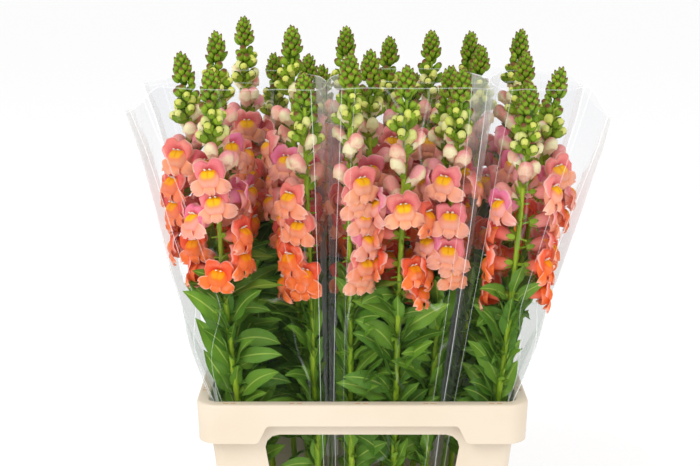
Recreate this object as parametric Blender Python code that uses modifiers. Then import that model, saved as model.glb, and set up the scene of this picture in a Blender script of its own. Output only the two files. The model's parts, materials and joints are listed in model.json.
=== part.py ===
"""Cut snapdragons in clear film sleeves, standing in a windowed plastic flower crate.

Run with: blender --background --python part.py

Metres, +Z up, the origin under the middle of the crate's base, -Y the front. The crate is two
mouldings: a water bucket, and a windowed collar seated in its top, which is six nodes set a small
gap apart. Five film sleeves fan out of the collar's mouth. They hold 25 stems, which stand on the
bucket's floor in plain holes in the water. Each stem is one grown piece: a stalk with its leaves, open
blooms, pale buds and green spike, placed by rule, kept clear of its neighbours and of the film, and
fused by a Boolean union.
"""

import math
import random

import bmesh
import bpy
import numpy as np
from mathutils import Vector

# Crate. Offsets called "inset" run inwards from the rim's outer face.
RIM_HEIGHT = 0.340
RIM_HALF_X = 0.200
RIM_HALF_Y = 0.150
RIM_CORNER = 0.026
FLANGE_WIDTH = 0.015
WALL = 0.003
DRAFT = math.tan(math.radians(5.5))
RIM_BEVEL = 0.0015
SKIRT_CORNER_DEPTH = 0.0497
SKIRT_MIDDLE_DEPTH = 0.027
SKIRT_STEP = 0.011  # how far the skirt's slanted step runs sideways
COLLAR_BOTTOM = 0.160
WINDOW_TOP = 0.2965
WINDOW_BOTTOM = 0.195
WINDOW_HALF_FRONT = 0.1175
WINDOW_HALF_SIDE = 0.074
WINDOW_CORNER = 0.017
BUCKET_TOP = 0.185
SOCKET_STEP = 0.006  # height of the slope under the bucket's socket band
WATER_TOP = 0.080
GAP = 0.0003  # between touching pieces
CORNER_STEPS = 3

# Film sleeves: the level where each leaves the collar, its lower end and its upper edge.
SLEEVE_BOTTOM = 0.215
SLEEVE_RIM = RIM_HEIGHT - RIM_BEVEL
SLEEVE_TOP = 0.700
FILM = 0.0007
FILM_SIDES = 16
FACET_SAG = 0.0016  # how far the film's flat facets lie inside its true curve
BOXY, ROUND = 8.0, 3.2  # superellipse exponents at the collar and at the upper edge
SLEEVES = {
    # name: left, right, front, back at the lower end, at the collar and at the upper edge
    "sleeve_front_left": (
        (-0.165, -0.040, -0.102, -0.002),
        (-0.1845, -0.043, -0.1345, -0.001),
        (-0.275, -0.043, -0.197, -0.003),
    ),
    "sleeve_front_middle": (
        (-0.038, 0.092, -0.102, -0.002),
        (-0.041, 0.103, -0.1345, -0.001),
        (-0.041, 0.149, -0.200, -0.003),
    ),
    "sleeve_front_right": (
        (0.094, 0.165, -0.102, -0.002),
        (0.105, 0.1845, -0.1345, -0.001),
        (0.151, 0.275, -0.197, -0.003),
    ),
    "sleeve_back_left": (
        (-0.165, 0.006, 0.000, 0.102),
        (-0.1845, 0.006, 0.001, 0.1345),
        (-0.270, 0.008, -0.001, 0.200),
    ),
    "sleeve_back_right": (
        (0.008, 0.165, 0.000, 0.102),
        (0.008, 0.1845, 0.001, 0.1345),
        (0.010, 0.270, -0.001, 0.200),
    ),
}

# Stems: sleeve, tip x, tip y, tip z, drop from the tip to the first open bloom, its compass facing.
PLANTING = (
    ("sleeve_front_left", -0.172, -0.150, 0.742, 0.132, -95),
    ("sleeve_front_left", -0.067, -0.136, 0.735, 0.148, -135),
    ("sleeve_front_left", -0.212, -0.100, 0.756, 0.124, -105),
    ("sleeve_front_left", -0.174, -0.055, 0.776, 0.140, -60),
    ("sleeve_front_left", -0.084, -0.050, 0.782, 0.150, 200),
    ("sleeve_front_middle", -0.015, -0.138, 0.758, 0.152, -75),
    ("sleeve_front_middle", 0.049, -0.152, 0.746, 0.160, -135),
    ("sleeve_front_middle", 0.114, -0.138, 0.741, 0.130, -110),
    ("sleeve_front_middle", 0.009, -0.072, 0.756, 0.138, 60),
    ("sleeve_front_middle", 0.104, -0.082, 0.738, 0.134, -50),
    ("sleeve_front_right", 0.188, -0.150, 0.726, 0.140, -90),
    ("sleeve_front_right", 0.232, -0.098, 0.738, 0.126, -60),
    ("sleeve_front_right", 0.196, -0.050, 0.750, 0.136, 60),
    ("sleeve_back_left", -0.150, 0.062, 0.785, 0.136, -90),
    ("sleeve_back_left", -0.116, 0.126, 0.733, 0.130, 120),
    ("sleeve_back_left", -0.196, 0.100, 0.712, 0.128, 170),
    ("sleeve_back_left", -0.068, 0.060, 0.738, 0.140, -70),
    ("sleeve_back_left", -0.052, 0.140, 0.716, 0.132, 80),
    ("sleeve_back_left", -0.020, 0.056, 0.773, 0.144, 180),
    ("sleeve_back_right", 0.036, 0.076, 0.759, 0.138, -90),
    ("sleeve_back_right", 0.072, 0.136, 0.706, 0.126, 90),
    ("sleeve_back_right", 0.088, 0.044, 0.769, 0.146, -120),
    ("sleeve_back_right", 0.142, 0.094, 0.764, 0.140, -80),
    ("sleeve_back_right", 0.150, 0.038, 0.751, 0.132, -40),
    ("sleeve_back_right", 0.206, 0.076, 0.768, 0.136, 10),
)
RIM_SHARE = np.array((0.90, 0.78))  # a stem's x and y at the rim, as shares of its tip's
RIM_ROOM = 0.016  # from a stem's middle to its sleeve, there
FOOT_SHARE = np.array((0.75, 0.45))  # its foot, as shares of its place at the rim
STRAIGHT = 0.120  # a stem is straight up to this height, and curves outwards above it
BOW = 0.003  # the most that a stem leaves its curve
FOOT_Z = WALL + GAP
STALK_FOOT_R = 0.0040
STALK_TOP_R = 0.0024
STALK_SIDES = 5
STALK_RINGS = 6
SEED = 41

# Organs, at true size.
HEAD_LENGTH = 0.055
HEAD_RADIUS = 0.0130
BLOOMS = 6
BLOOM_PITCH = 0.0225
BLOOM_TURN = 120
BLOOM_SIZES = (0.98, 0.92, 0.86, 0.80, 0.74, 0.68)
PALE_BUDS = 4
PALE_PITCH = 0.0165
PALE_TURN = 137
LEAVES = 6
LEAF_TOP_DROP = 0.036  # below the last bloom
LEAF_PITCH = 0.040
LEAF_TURN = 100
LEAF_LENGTH = (0.062, 0.082)
LEAF_WIDTH = 0.021
LEAF_KEEL = 0.0016  # the blade's edges stand this far above its rib
NESTING = 0.004  # how far organs of one stem may grow into each other
CLEARANCE = 0.0009  # the least air between organs of different stems, or an organ and the film

MATERIALS = {
    # name: base colour, roughness
    "stalk": ((0.20, 0.42, 0.04), 0.50),
    "leaf": ((0.06, 0.20, 0.03), 0.45),
    "green_bud": ((0.16, 0.34, 0.04), 0.50),
    "pale_bud": ((0.80, 0.74, 0.36), 0.50),
    "pink_petal": ((0.88, 0.32, 0.33), 0.50),
    "orange_petal": ((0.92, 0.22, 0.06), 0.50),
    "cream_plastic": ((0.93, 0.80, 0.60), 0.40),
    "clear_film": ((0.93, 0.95, 0.96), 0.10),
    "water": ((0.55, 0.68, 0.70), 0.05),
}
STEM_SLOTS = ("stalk", "leaf", "green_bud", "pale_bud", "pink_petal", "orange_petal")


def start_scene():
    """An empty scene with one collection for the parts and one for the cutters."""
    for obj in list(bpy.data.objects):
        bpy.data.objects.remove(obj)
    made = []
    for name in ("snapdragons_in_crate", "cutters"):
        collection = bpy.data.collections.new(name)
        bpy.context.scene.collection.children.link(collection)
        made.append(collection)
    return made


def make_materials():
    for name, (colour, roughness) in MATERIALS.items():
        material = bpy.data.materials.new(name)
        material.use_nodes = True
        shader = material.node_tree.nodes["Principled BSDF"]
        shader.inputs["Base Color"].default_value = (*colour, 1)
        shader.inputs["Roughness"].default_value = roughness
        material.diffuse_color = (*colour, 1)


def add_object(name, points, faces, slots, collection, slot=0):
    """An object with these points and faces, every face in one material slot."""
    mesh = bpy.data.meshes.new(name)
    mesh.from_pydata([tuple(p) for p in points], [], faces)
    for material in slots:
        mesh.materials.append(bpy.data.materials[material])
    mesh.polygons.foreach_set("material_index", [slot] * len(mesh.polygons))
    mesh.update()
    obj = bpy.data.objects.new(name, mesh)
    collection.objects.link(obj)
    return obj


def face_outwards(obj):
    work = bmesh.new()
    work.from_mesh(obj.data)
    bmesh.ops.recalc_face_normals(work, faces=work.faces)
    work.to_mesh(obj.data)
    work.free()


def loft(sections, looped=False, capped=True):
    """Points and faces of a skin through rings of equal count. An end is a single point or gets a
    cap, or stays open; a looped skin joins its last ring to its first."""
    points, rows = [], []
    for section in sections:
        rows.append(range(len(points), len(points) + len(section)))
        points.extend(section)
    faces = []
    pairs = list(zip(rows, rows[1:] + rows[:1] if looped else rows[1:]))
    for low, high in pairs:
        count = max(len(low), len(high))
        for i in range(count):
            j = (i + 1) % count
            if len(low) == 1:
                faces.append((low[0], high[j], high[i]))
            elif len(high) == 1:
                faces.append((low[i], low[j], high[0]))
            else:
                faces.append((low[i], low[j], high[j], high[i]))
    if capped and not looped:
        faces += [tuple(row)[::step] for row, step in ((rows[0], -1), (rows[-1], 1)) if len(row) > 1]
    return points, faces


# Crate


def rounded_ring(inset, z, corner_steps=CORNER_STEPS):
    """A rounded rectangle, this far inside the rim's outer face, at height z."""
    radius = max(RIM_CORNER - inset, 0.010)
    points = []
    for quarter in range(4):
        turn = math.pi / 2 * quarter
        sign_x, sign_y = ((1, 1), (-1, 1), (-1, -1), (1, -1))[quarter]
        centre_x = sign_x * (RIM_HALF_X - inset - radius)
        centre_y = sign_y * (RIM_HALF_Y - inset - radius)
        for step in range(corner_steps + 1):
            angle = turn + math.pi / 2 * step / corner_steps
            points.append((centre_x + radius * math.cos(angle), centre_y + radius * math.sin(angle), z))
    return points


def wall_inset(z):
    """Inset of the walls' inner face, which the draft carries inwards going down."""
    return FLANGE_WIDTH + (RIM_HEIGHT - z) * DRAFT


def cut(obj, cutter, operation="DIFFERENCE"):
    cutter.hide_render = True
    cutter.display_type = "WIRE"
    modifier = obj.modifiers.new(f"cut {cutter.name}", "BOOLEAN")
    modifier.operation = operation
    modifier.object = cutter


def extruded_outline(name, outline, low, high, along_x, collection):
    """A prism of an outline in (sideways, z), run along X or Y from low to high."""

    def place(side, z, depth):
        return (depth, side, z) if along_x else (side, depth, z)

    rings = [[place(side, z, depth) for side, z in outline] for depth in (low, high)]
    obj = add_object(name, *loft(rings), ("cream_plastic",), collection)
    face_outwards(obj)
    return obj


def window_outline(half_width):
    """A window with round corners, its sides leaning in with the walls' draft."""
    lean = (WINDOW_TOP - WINDOW_BOTTOM) * DRAFT
    points = []
    corners = (
        (half_width, WINDOW_TOP, 0, 1, 1),
        (-half_width, WINDOW_TOP, 90, -1, 1),
        (-half_width + lean, WINDOW_BOTTOM, 180, -1, -1),
        (half_width - lean, WINDOW_BOTTOM, 270, 1, -1),
    )
    for side, z, start, sign_x, sign_z in corners:
        for step in range(CORNER_STEPS + 1):
            angle = math.radians(start + 90 * step / CORNER_STEPS)
            points.append(
                (
                    side - sign_x * WINDOW_CORNER + WINDOW_CORNER * math.cos(angle),
                    z - sign_z * WINDOW_CORNER + WINDOW_CORNER * math.sin(angle),
                )
            )
    return points


def skirt_notch_outline(half_width):
    """The part of the skirt that is left off between the corners, with slanted ends."""
    top = RIM_HEIGHT - SKIRT_MIDDLE_DEPTH
    bottom = RIM_HEIGHT - SKIRT_CORNER_DEPTH - WALL
    wide = half_width + SKIRT_STEP
    return [(half_width, top), (-half_width, top), (-wide, bottom), (wide, bottom)]


def collar_ring(name, profile, parts):
    """A node of the collar, lofted through rounded rectangles of (inset, height)."""
    rings = [rounded_ring(inset, z) for inset, z in profile]
    ring = add_object(name, *loft(rings, looped=True), ("cream_plastic",), parts)
    face_outwards(ring)
    return ring


def wall_profile(low, high):
    """The wall's section between two heights."""
    return (
        (wall_inset(high), high),
        (wall_inset(low), low),
        (wall_inset(low) - WALL, low),
        (wall_inset(high) - WALL, high),
    )


def make_collar(parts, cutters):
    """One moulding in six nodes: an inverted-channel rim, four corner posts between the windows, and
    a plain band that enters the bucket. The posts' ends stand a gap off the rim and the band."""
    wall_top = wall_inset(WINDOW_TOP)
    rim = collar_ring(
        "collar_rim",
        (
            (0.0015, RIM_HEIGHT - SKIRT_CORNER_DEPTH),
            (0, RIM_HEIGHT - RIM_BEVEL),
            (RIM_BEVEL, RIM_HEIGHT),
            (FLANGE_WIDTH - RIM_BEVEL, RIM_HEIGHT),
            (wall_inset(RIM_HEIGHT - RIM_BEVEL), RIM_HEIGHT - RIM_BEVEL),
            (wall_top, WINDOW_TOP),
            (wall_top - WALL, WINDOW_TOP),
            (wall_inset(RIM_HEIGHT - WALL) - WALL, RIM_HEIGHT - WALL),
            (WALL, RIM_HEIGHT - WALL),
            (WALL + 0.0015, RIM_HEIGHT - SKIRT_CORNER_DEPTH),
        ),
        parts,
    )
    collar_ring("collar_band", wall_profile(COLLAR_BOTTOM, WINDOW_BOTTOM - GAP), parts)
    reach = 2 * RIM_HALF_X
    posts = []
    for end, sign_y in (("front", -1), ("back", 1)):
        for side, sign_x in (("left", -1), ("right", 1)):
            post = collar_ring(
                f"collar_post_{end}_{side}", wall_profile(WINDOW_BOTTOM, WINDOW_TOP - GAP), parts
            )
            outline = [(0, 0), (sign_x * reach, 0), (sign_x * reach, RIM_HEIGHT), (0, RIM_HEIGHT)]
            quarter = sorted((0, sign_y * reach))
            corner = extruded_outline(f"corner_{end}_{side}", outline, *quarter, False, cutters)
            cut(post, corner, "INTERSECT")
            posts.append(post)
    behind_skirt = FLANGE_WIDTH / 2  # the cutters end between the skirt and the wall
    for along_x, half_window, half_rim in (
        (False, WINDOW_HALF_FRONT, RIM_HALF_Y),
        (True, WINDOW_HALF_SIDE, RIM_HALF_X),
    ):
        side = "sides" if along_x else "front_and_back"
        window = window_outline(half_window)
        cutter = extruded_outline(f"windows_{side}", window, -reach, reach, along_x, cutters)
        for post in posts:
            cut(post, cutter)
        outline = skirt_notch_outline(half_window - 0.003)
        for sign, end in ((-1, "low"), (1, "high")):
            near, far = sorted((sign * (half_rim - behind_skirt), sign * reach))
            cut(rim, extruded_outline(f"skirt_{side}_{end}", outline, near, far, along_x, cutters))


def make_bucket(parts):
    """The water bucket, with a socket band round its top that the collar stands in."""
    socket = WALL + GAP
    profile = (
        (wall_inset(0) - WALL, 0),
        (wall_inset(COLLAR_BOTTOM - 2 * SOCKET_STEP) - WALL, COLLAR_BOTTOM - 2 * SOCKET_STEP),
        (wall_inset(COLLAR_BOTTOM - SOCKET_STEP) - WALL - socket, COLLAR_BOTTOM - SOCKET_STEP),
        (wall_inset(BUCKET_TOP) - WALL - socket, BUCKET_TOP),
        (wall_inset(BUCKET_TOP) - socket, BUCKET_TOP),
        (wall_inset(COLLAR_BOTTOM - GAP) - socket, COLLAR_BOTTOM - GAP),
        (wall_inset(COLLAR_BOTTOM - GAP), COLLAR_BOTTOM - GAP),
        (wall_inset(WALL), WALL),
    )
    rings = [rounded_ring(inset, z) for inset, z in profile]
    bucket = add_object("bucket", *loft(rings), ("cream_plastic",), parts)
    face_outwards(bucket)


def make_water(parts, cutters, stems):
    """The water, a block with a plain hole round each stem."""
    low = WALL + GAP
    rings = [rounded_ring(wall_inset(z) + GAP, z, corner_steps=2) for z in (low, WATER_TOP)]
    water = add_object("water", *loft(rings), ("water",), parts)
    face_outwards(water)
    holes = bpy.data.collections.new("stem_holes")
    cutters.children.link(holes)
    for stem in stems:
        sections = [stalk_ring(stem, z, grow=0.0005) for z in (0, WATER_TOP + 0.01)]
        hole = add_object(f"hole_{stem['name']}", *loft(sections), ("water",), holes)
        hole.hide_render = True
        hole.display_type = "WIRE"
    modifier = water.modifiers.new("stem holes", "BOOLEAN")
    modifier.operation = "DIFFERENCE"
    modifier.operand_type = "COLLECTION"
    modifier.collection = holes


# Sleeves


def sleeve_section(name, z):
    """Centre, half sizes and superellipse exponent of a sleeve at height z."""
    low, rim, top = (np.array(box) for box in SLEEVES[name])
    if z < SLEEVE_RIM:
        share = (z - SLEEVE_BOTTOM) / (SLEEVE_RIM - SLEEVE_BOTTOM)
        box, exponent = low + (rim - low) * share, BOXY
    else:
        share = (z - SLEEVE_RIM) / (SLEEVE_TOP - SLEEVE_RIM)
        box, exponent = rim + (top - rim) * share, BOXY + (ROUND - BOXY) * min(share, 1)
    left, right, front, back = box
    return (left + right) / 2, (front + back) / 2, (right - left) / 2, (back - front) / 2, exponent


def sleeve_ring(name, z):
    centre_x, centre_y, half_x, half_y, exponent = sleeve_section(name, z)
    points = []
    for i in range(FILM_SIDES):
        angle = 2 * math.pi * i / FILM_SIDES
        c, s = math.cos(angle), math.sin(angle)
        x = half_x * math.copysign(abs(c) ** (2 / exponent), c)
        y = half_y * math.copysign(abs(s) ** (2 / exponent), s)
        points.append((centre_x + x, centre_y + y, z))
    return points


def make_sleeve(name, parts):
    """A thin open sleeve, flaring from the collar's mouth upwards."""
    rings = [sleeve_ring(name, z) for z in (SLEEVE_BOTTOM, SLEEVE_RIM, SLEEVE_TOP)]
    sleeve = add_object(name, *loft(rings, capped=False), ("clear_film",), parts)
    film = sleeve.modifiers.new("film", "SOLIDIFY")
    film.thickness = FILM
    film.offset = -1
    film.use_even_offset = True


# Stems: the plan


def stem_axis(stem, z):
    """The stem's middle at height z: a straight foot, a growing outward curve and a slight bow."""
    share = max(z - STRAIGHT, 0) / (stem["tip"][2] - STRAIGHT)
    place = stem["foot"] + stem["lean"] * z + stem["curve"] * share**2
    place += stem["bow"] * math.sin(math.pi * share) ** 2
    return Vector((place[0], place[1], z))


def stalk_radius(stem, z):
    share = min(max((z - FOOT_Z) / (stem["tip"][2] - FOOT_Z), 0), 1)
    return STALK_FOOT_R + (STALK_TOP_R - STALK_FOOT_R) * share**2


def plan_stems():
    draw = random.Random(SEED)
    stems = []
    for index, (sleeve, x, y, z, drop, facing) in enumerate(PLANTING):
        angle = draw.uniform(0, 2 * math.pi)
        bow = BOW * np.array((math.cos(angle), math.sin(angle)))
        stem = {"name": f"stem_{index + 1:02d}", "index": index, "sleeve": sleeve, "tip": (x, y, z)}
        stem.update(bow=bow, drop=drop, facing=facing, organs=[])
        tip, rim = np.array((x, y)), np.array(sleeve_section(sleeve, SLEEVE_RIM)[:4])
        room = rim[2:] - RIM_ROOM
        at_rim = np.clip(tip * RIM_SHARE, rim[:2] - room, rim[:2] + room)
        stem["foot"] = at_rim * FOOT_SHARE
        stem["lean"] = (at_rim - stem["foot"]) / RIM_HEIGHT
        stem["curve"] = tip - stem["foot"] - stem["lean"] * z
        stems.append(stem)
    return stems


def organ_frame(stem, z, facing, pitch):
    """Origin on the stem's axis, and unit vectors outwards, sideways and up, tilted by pitch."""
    a, p = math.radians(facing), math.radians(pitch)
    level = Vector((math.cos(a), math.sin(a), 0))
    side = Vector((-math.sin(a), math.cos(a), 0))
    up = Vector((0, 0, 1))
    out = level * math.cos(p) + up * math.sin(p)
    return stem_axis(stem, z), out, side, up * math.cos(p) - level * math.sin(p)


def placed(frame, local):
    origin, out, side, up = frame
    return origin + out * local[0] + side * local[1] + up * local[2]


BLOOM_PROBES = (
    # x, y, z and radius of the balls that stand for a bloom when its room is looked for
    (0.015, 0, 0, 0.0075),
    (0.026, 0, -0.002, 0.0115),
    (0.025, 0.012, 0.012, 0.0090),
    (0.025, -0.012, 0.012, 0.0090),
    (0.027, 0.012, -0.010, 0.0090),
    (0.027, -0.012, -0.010, 0.0090),
    (0.027, 0, -0.014, 0.0080),
)
PALE_PROBES = ((0.013, 0, 0.001, 0.0090), (0.020, 0, -0.003, 0.0070))


def leaf_line(length, pitch, droop, steps):
    """Points (out, up) along a leaf's rib, which starts at pitch and bends down by droop degrees."""
    line = [(0.0, 0.0)]
    for step in range(steps):
        angle = math.radians(pitch - droop * (step + 0.5) / steps)
        out, up = line[-1]
        line.append((out + length / steps * math.cos(angle), up + length / steps * math.sin(angle)))
    return line


def leaf_width(share):
    """Half width of a leaf at a share of its length, for a full width of 1."""
    return 0.5 * math.sin(math.pi * share**0.8) ** 0.8 if 0 < share < 1 else 0.0


def leaf_probes(stem, organ):
    frame = organ_frame(stem, organ["z"], organ["facing"], 0)
    line = leaf_line(organ["length"], organ["pitch"], organ["droop"], 14)
    probes = []
    for step in range(2, 15):
        out, up = line[step]
        wide = LEAF_WIDTH * leaf_width(step / 14) * 0.6
        for side in (-wide, 0, wide) if wide else (0,):
            probes.append((*placed(frame, (out, side, up)), 0.0026))
    return probes


def organ_probes(stem, organ):
    if organ["kind"] == "leaf":
        return np.array(leaf_probes(stem, organ))
    table = BLOOM_PROBES if organ["kind"] == "bloom" else PALE_PROBES
    frame = organ_frame(stem, organ["z"], organ["facing"], organ["pitch"])
    size = organ["size"]
    probes = []
    for x, y, z, radius in table:
        probes.append((*placed(frame, (x * size, y * size, z * size)), radius * size))
    return np.array(probes)


def stalk_probes(stem):
    """Balls along the stalk, and wider ones along the spike at its top."""
    tip = stem["tip"][2]
    probes = []
    for z in np.arange(SLEEVE_BOTTOM, tip, 0.004):
        radius = stalk_radius(stem, z) if z < tip - HEAD_LENGTH - 0.004 else HEAD_RADIUS
        probes.append((*stem_axis(stem, z), radius))
    return np.array(probes)


class Crowd:
    """Everything placed so far, as balls that know the stem they grow on."""

    def __init__(self, stems):
        self.balls = np.concatenate([stalk_probes(stem) for stem in stems])
        counts = [len(stalk_probes(stem)) for stem in stems]
        self.owners = np.repeat([stem["index"] for stem in stems], counts)
        self.is_stalk = np.ones(len(self.balls), bool)

    def has_room(self, stem, probes):
        if not all(in_sleeve(stem["sleeve"], ball) for ball in probes):
            return False
        own = self.owners == stem["index"]
        middle = probes[:, :3].mean(axis=0)
        reach = np.linalg.norm(probes[:, :3] - middle, axis=1).max() + 0.030
        near = np.linalg.norm(self.balls[:, :3] - middle, axis=1) < reach
        near &= ~(own & self.is_stalk)
        others = self.balls[near]
        apart = np.linalg.norm(probes[:, None, :3] - others[None, :, :3], axis=2)
        free = apart - probes[:, None, 3] - others[None, :, 3] + np.where(own[near], NESTING, 0)
        return free.min(initial=1) > CLEARANCE

    def add(self, stem, probes):
        self.balls = np.concatenate([self.balls, probes])
        self.owners = np.append(self.owners, [stem["index"]] * len(probes))
        self.is_stalk = np.append(self.is_stalk, [False] * len(probes))


def in_sleeve(name, ball):
    x, y, z, radius = ball
    if z - radius > SLEEVE_TOP:
        return True
    centre_x, centre_y, half_x, half_y, exponent = sleeve_section(name, z)
    margin = radius + FILM + CLEARANCE + FACET_SAG
    across = abs(x - centre_x) / (half_x - margin)
    deep = abs(y - centre_y) / (half_y - margin)
    return z > SLEEVE_BOTTOM + radius and across < 1 and deep < 1 and across**exponent + deep**exponent < 1


def settle(crowd, stem, choices):
    """Keeps the first of the choices that has room."""
    for organ in choices:
        probes = organ_probes(stem, organ)
        if crowd.has_room(stem, probes):
            crowd.add(stem, probes)
            stem["organs"].append(organ)
            return organ
    return None


def turned(step):
    """0, +step, -step, +2 steps, -2 steps and so on, out to 90 degrees."""
    return [0] + [sign * k * step for k in range(1, int(90 / step) + 1) for sign in (1, -1)]


def bloom_choices(stem, tier, draw):
    z = stem["tip"][2] - stem["drop"] - tier * BLOOM_PITCH + draw.uniform(-0.002, 0.002)
    facing = stem["facing"] + tier * BLOOM_TURN + draw.uniform(-12, 12)
    pitch = draw.uniform(-2, 14)
    for size in BLOOM_SIZES:
        for turn in turned(9):
            for lift in (0, 0.005, -0.005, 0.010, -0.010):
                organ = {"kind": "bloom", "tier": tier, "z": z + lift, "facing": facing + turn}
                yield {**organ, "pitch": pitch, "size": size}


def pale_choices(stem, tier, draw):
    z = stem["tip"][2] - HEAD_LENGTH - 0.010 - tier * PALE_PITCH + draw.uniform(-0.002, 0.002)
    facing = stem["facing"] + 60 - tier * PALE_TURN + draw.uniform(-10, 10)
    grown = 0.58 + 0.14 * tier
    for share in (1, 0.85, 0.7):
        for turn in turned(10):
            organ = {"kind": "pale", "tier": tier, "z": z, "facing": facing + turn}
            yield {**organ, "pitch": 28 - 4 * tier, "size": grown * share}


def leaf_choices(stem, tier, draw):
    last_bloom = stem["drop"] + (BLOOMS - 1) * BLOOM_PITCH
    z = stem["tip"][2] - last_bloom - LEAF_TOP_DROP - tier * LEAF_PITCH + draw.uniform(-0.004, 0.004)
    facing = stem["facing"] + 40 + tier * LEAF_TURN + draw.uniform(-12, 12)
    length = draw.uniform(*LEAF_LENGTH)
    pitch, droop = draw.uniform(38, 58), draw.uniform(25, 60)
    for share in (1, 0.85, 0.7, 0.55):
        for steeper in (0, 12, 24):
            for turn in turned(12):
                organ = {"kind": "leaf", "tier": tier, "z": z, "facing": facing + turn}
                organ.update(length=length * share, pitch=pitch + steeper, droop=droop)
                yield organ


def plan_organs(stems):
    """Blooms first, then pale buds, then leaves, a tier of every stem at a time."""
    crowd = Crowd(stems)
    draw = random.Random(SEED + 1)
    for count, choices in ((BLOOMS, bloom_choices), (PALE_BUDS, pale_choices), (LEAVES, leaf_choices)):
        for tier in range(count):
            for stem in stems:
                settle(crowd, stem, choices(stem, tier, draw))


# Stems: the solids


def stalk_ring(stem, z, grow=0.0, sides=STALK_SIDES):
    centre, radius = stem_axis(stem, z), stalk_radius(stem, z) + grow
    turns = [2 * math.pi * i / sides for i in range(sides)]
    return [(centre.x + radius * math.cos(a), centre.y + radius * math.sin(a), z) for a in turns]


def stalk_solid(stem):
    """A tapered stalk from the bucket's floor into the spike, straight below the water line."""
    top = stem["tip"][2] - HEAD_LENGTH * 0.8
    levels = [FOOT_Z, *np.linspace(WATER_TOP + 0.01, top, STALK_RINGS - 1)]
    return loft([stalk_ring(stem, z) for z in levels])


def head_solid(stem):
    """The green spike: staggered rings of bud scales, swelling and narrowing by turns."""
    tip = stem["tip"][2]
    shares = (0.0, 0.18, 0.40, 0.62, 0.82)
    widths = (0.45, 1.0, 0.90, 0.72, 0.44)
    sections = []
    for level, (share, width) in enumerate(zip(shares, widths)):
        centre = stem_axis(stem, tip - HEAD_LENGTH * (1 - share))
        ring = []
        for i in range(6):
            angle = math.pi * (2 * i + level) / 6
            radius = HEAD_RADIUS * width * (1.0 if i % 2 == level // 2 % 2 else 0.84)
            ring.append(centre + Vector((math.cos(angle), math.sin(angle), 0)) * radius)
        sections.append(ring)
    sections.append([stem_axis(stem, tip)])
    return loft(sections)


def leaf_solid(stem, organ):
    """A lance-shaped blade, keeled along its rib underneath and arched along its length."""
    frame = organ_frame(stem, organ["z"], organ["facing"], 0)
    steps = 6
    line = leaf_line(organ["length"], organ["pitch"], organ["droop"], steps)
    slope = math.radians(organ["pitch"] - organ["droop"] / 2)
    lift = (-math.sin(slope), math.cos(slope))  # across the blade, in (out, up)

    def at(step, side, height):
        out, up = line[step]
        return placed(frame, (out + lift[0] * height, side, up + lift[1] * height))

    sections = [[at(0, 0, 0)]]
    for step in (2, 4):
        half = LEAF_WIDTH * organ["length"] / LEAF_LENGTH[1] * leaf_width(step / steps)
        sections.append([at(step, half, LEAF_KEEL), at(step, -half, LEAF_KEEL), at(step, 0, 0)])
    sections.append([at(steps, 0, 0)])
    return loft(sections)


BLOOM_TUBE = ((0.014, 0, 0.0070), (0.014, 0.0070, 0), (0.014, 0, -0.0075), (0.014, -0.0070, 0))
BLOOM_EDGE = (
    # round the lips from the middle notch of the upper lip, by the left side
    (0.0250, 0, 0.0125),
    (0.0215, 0.0150, 0.0205),
    (0.0245, 0.0120, 0.0010),
    (0.0265, 0.0205, -0.0105),
    (0.0290, 0.0075, -0.0130),
    (0.0255, 0, -0.0220),
    (0.0290, -0.0075, -0.0130),
    (0.0265, -0.0205, -0.0105),
    (0.0245, -0.0120, 0.0010),
    (0.0215, -0.0150, 0.0205),
)
BLOOM_TUBE_OF_EDGE = (0, 0, 1, 1, 2, 2, 2, 3, 3, 0)
PALATE = (0.0345, 0, -0.0020)


def bloom_solid(stem, organ):
    """A two-lipped bloom: a tube from the stalk, a two-lobed upper lip, and a three-lobed lower lip
    with the closed throat's palate standing out between them."""
    frame = organ_frame(stem, organ["z"], organ["facing"], organ["pitch"])
    local = ((0, 0, -0.001), *BLOOM_TUBE, *BLOOM_EDGE, PALATE)
    points = [placed(frame, [v * organ["size"] for v in p]) for p in local]
    base, tube, edge, palate = 0, 1, 5, 15
    faces = [(base, tube + i, tube + (i + 1) % 4) for i in range(4)]
    count = len(BLOOM_EDGE)
    for i in range(count):
        j = (i + 1) % count
        here, there = BLOOM_TUBE_OF_EDGE[i], BLOOM_TUBE_OF_EDGE[j]
        faces.append((tube + here, edge + i, edge + j))
        if here != there:
            faces.append((tube + here, edge + j, tube + there))
        faces.append((edge + i, palate, edge + j))
    return points, faces


def pale_solid(stem, organ):
    """A closed bud, plump and hooded, nodding at its end."""
    frame = organ_frame(stem, organ["z"], organ["facing"], organ["pitch"])
    size = organ["size"]
    ring = []
    for i in range(5):
        angle = 2 * math.pi * i / 5
        ring.append((0.0140, 0.0088 * math.sin(angle), 0.0010 + 0.0084 * math.cos(angle)))
    sections = [[(0, 0, -0.001)], ring, [(0.0260, 0, -0.0070)]]
    return loft([[placed(frame, [v * size for v in p]) for p in section] for section in sections])


ORGAN_SOLIDS = {"leaf": leaf_solid, "bloom": bloom_solid, "pale": pale_solid}


def organ_slot(organ):
    """Lower blooms have aged to orange."""
    if organ["kind"] == "bloom":
        return STEM_SLOTS.index("orange_petal" if organ["tier"] > 2 else "pink_petal")
    return STEM_SLOTS.index({"leaf": "leaf", "pale": "pale_bud"}[organ["kind"]])


def fuse(obj, pieces, collection):
    """Joins a collection of pieces to obj by one applied union, then removes them."""
    modifier = obj.modifiers.new("grown together", "BOOLEAN")
    modifier.operation = "UNION"
    modifier.operand_type = "COLLECTION"
    modifier.collection = collection
    graph = bpy.context.evaluated_depsgraph_get()
    joined = bpy.data.meshes.new_from_object(obj.evaluated_get(graph))
    joined.name = obj.name
    obj.modifiers.clear()
    obj.data = joined
    for piece in pieces:
        bpy.data.objects.remove(piece)
    bpy.data.collections.remove(collection)


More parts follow.
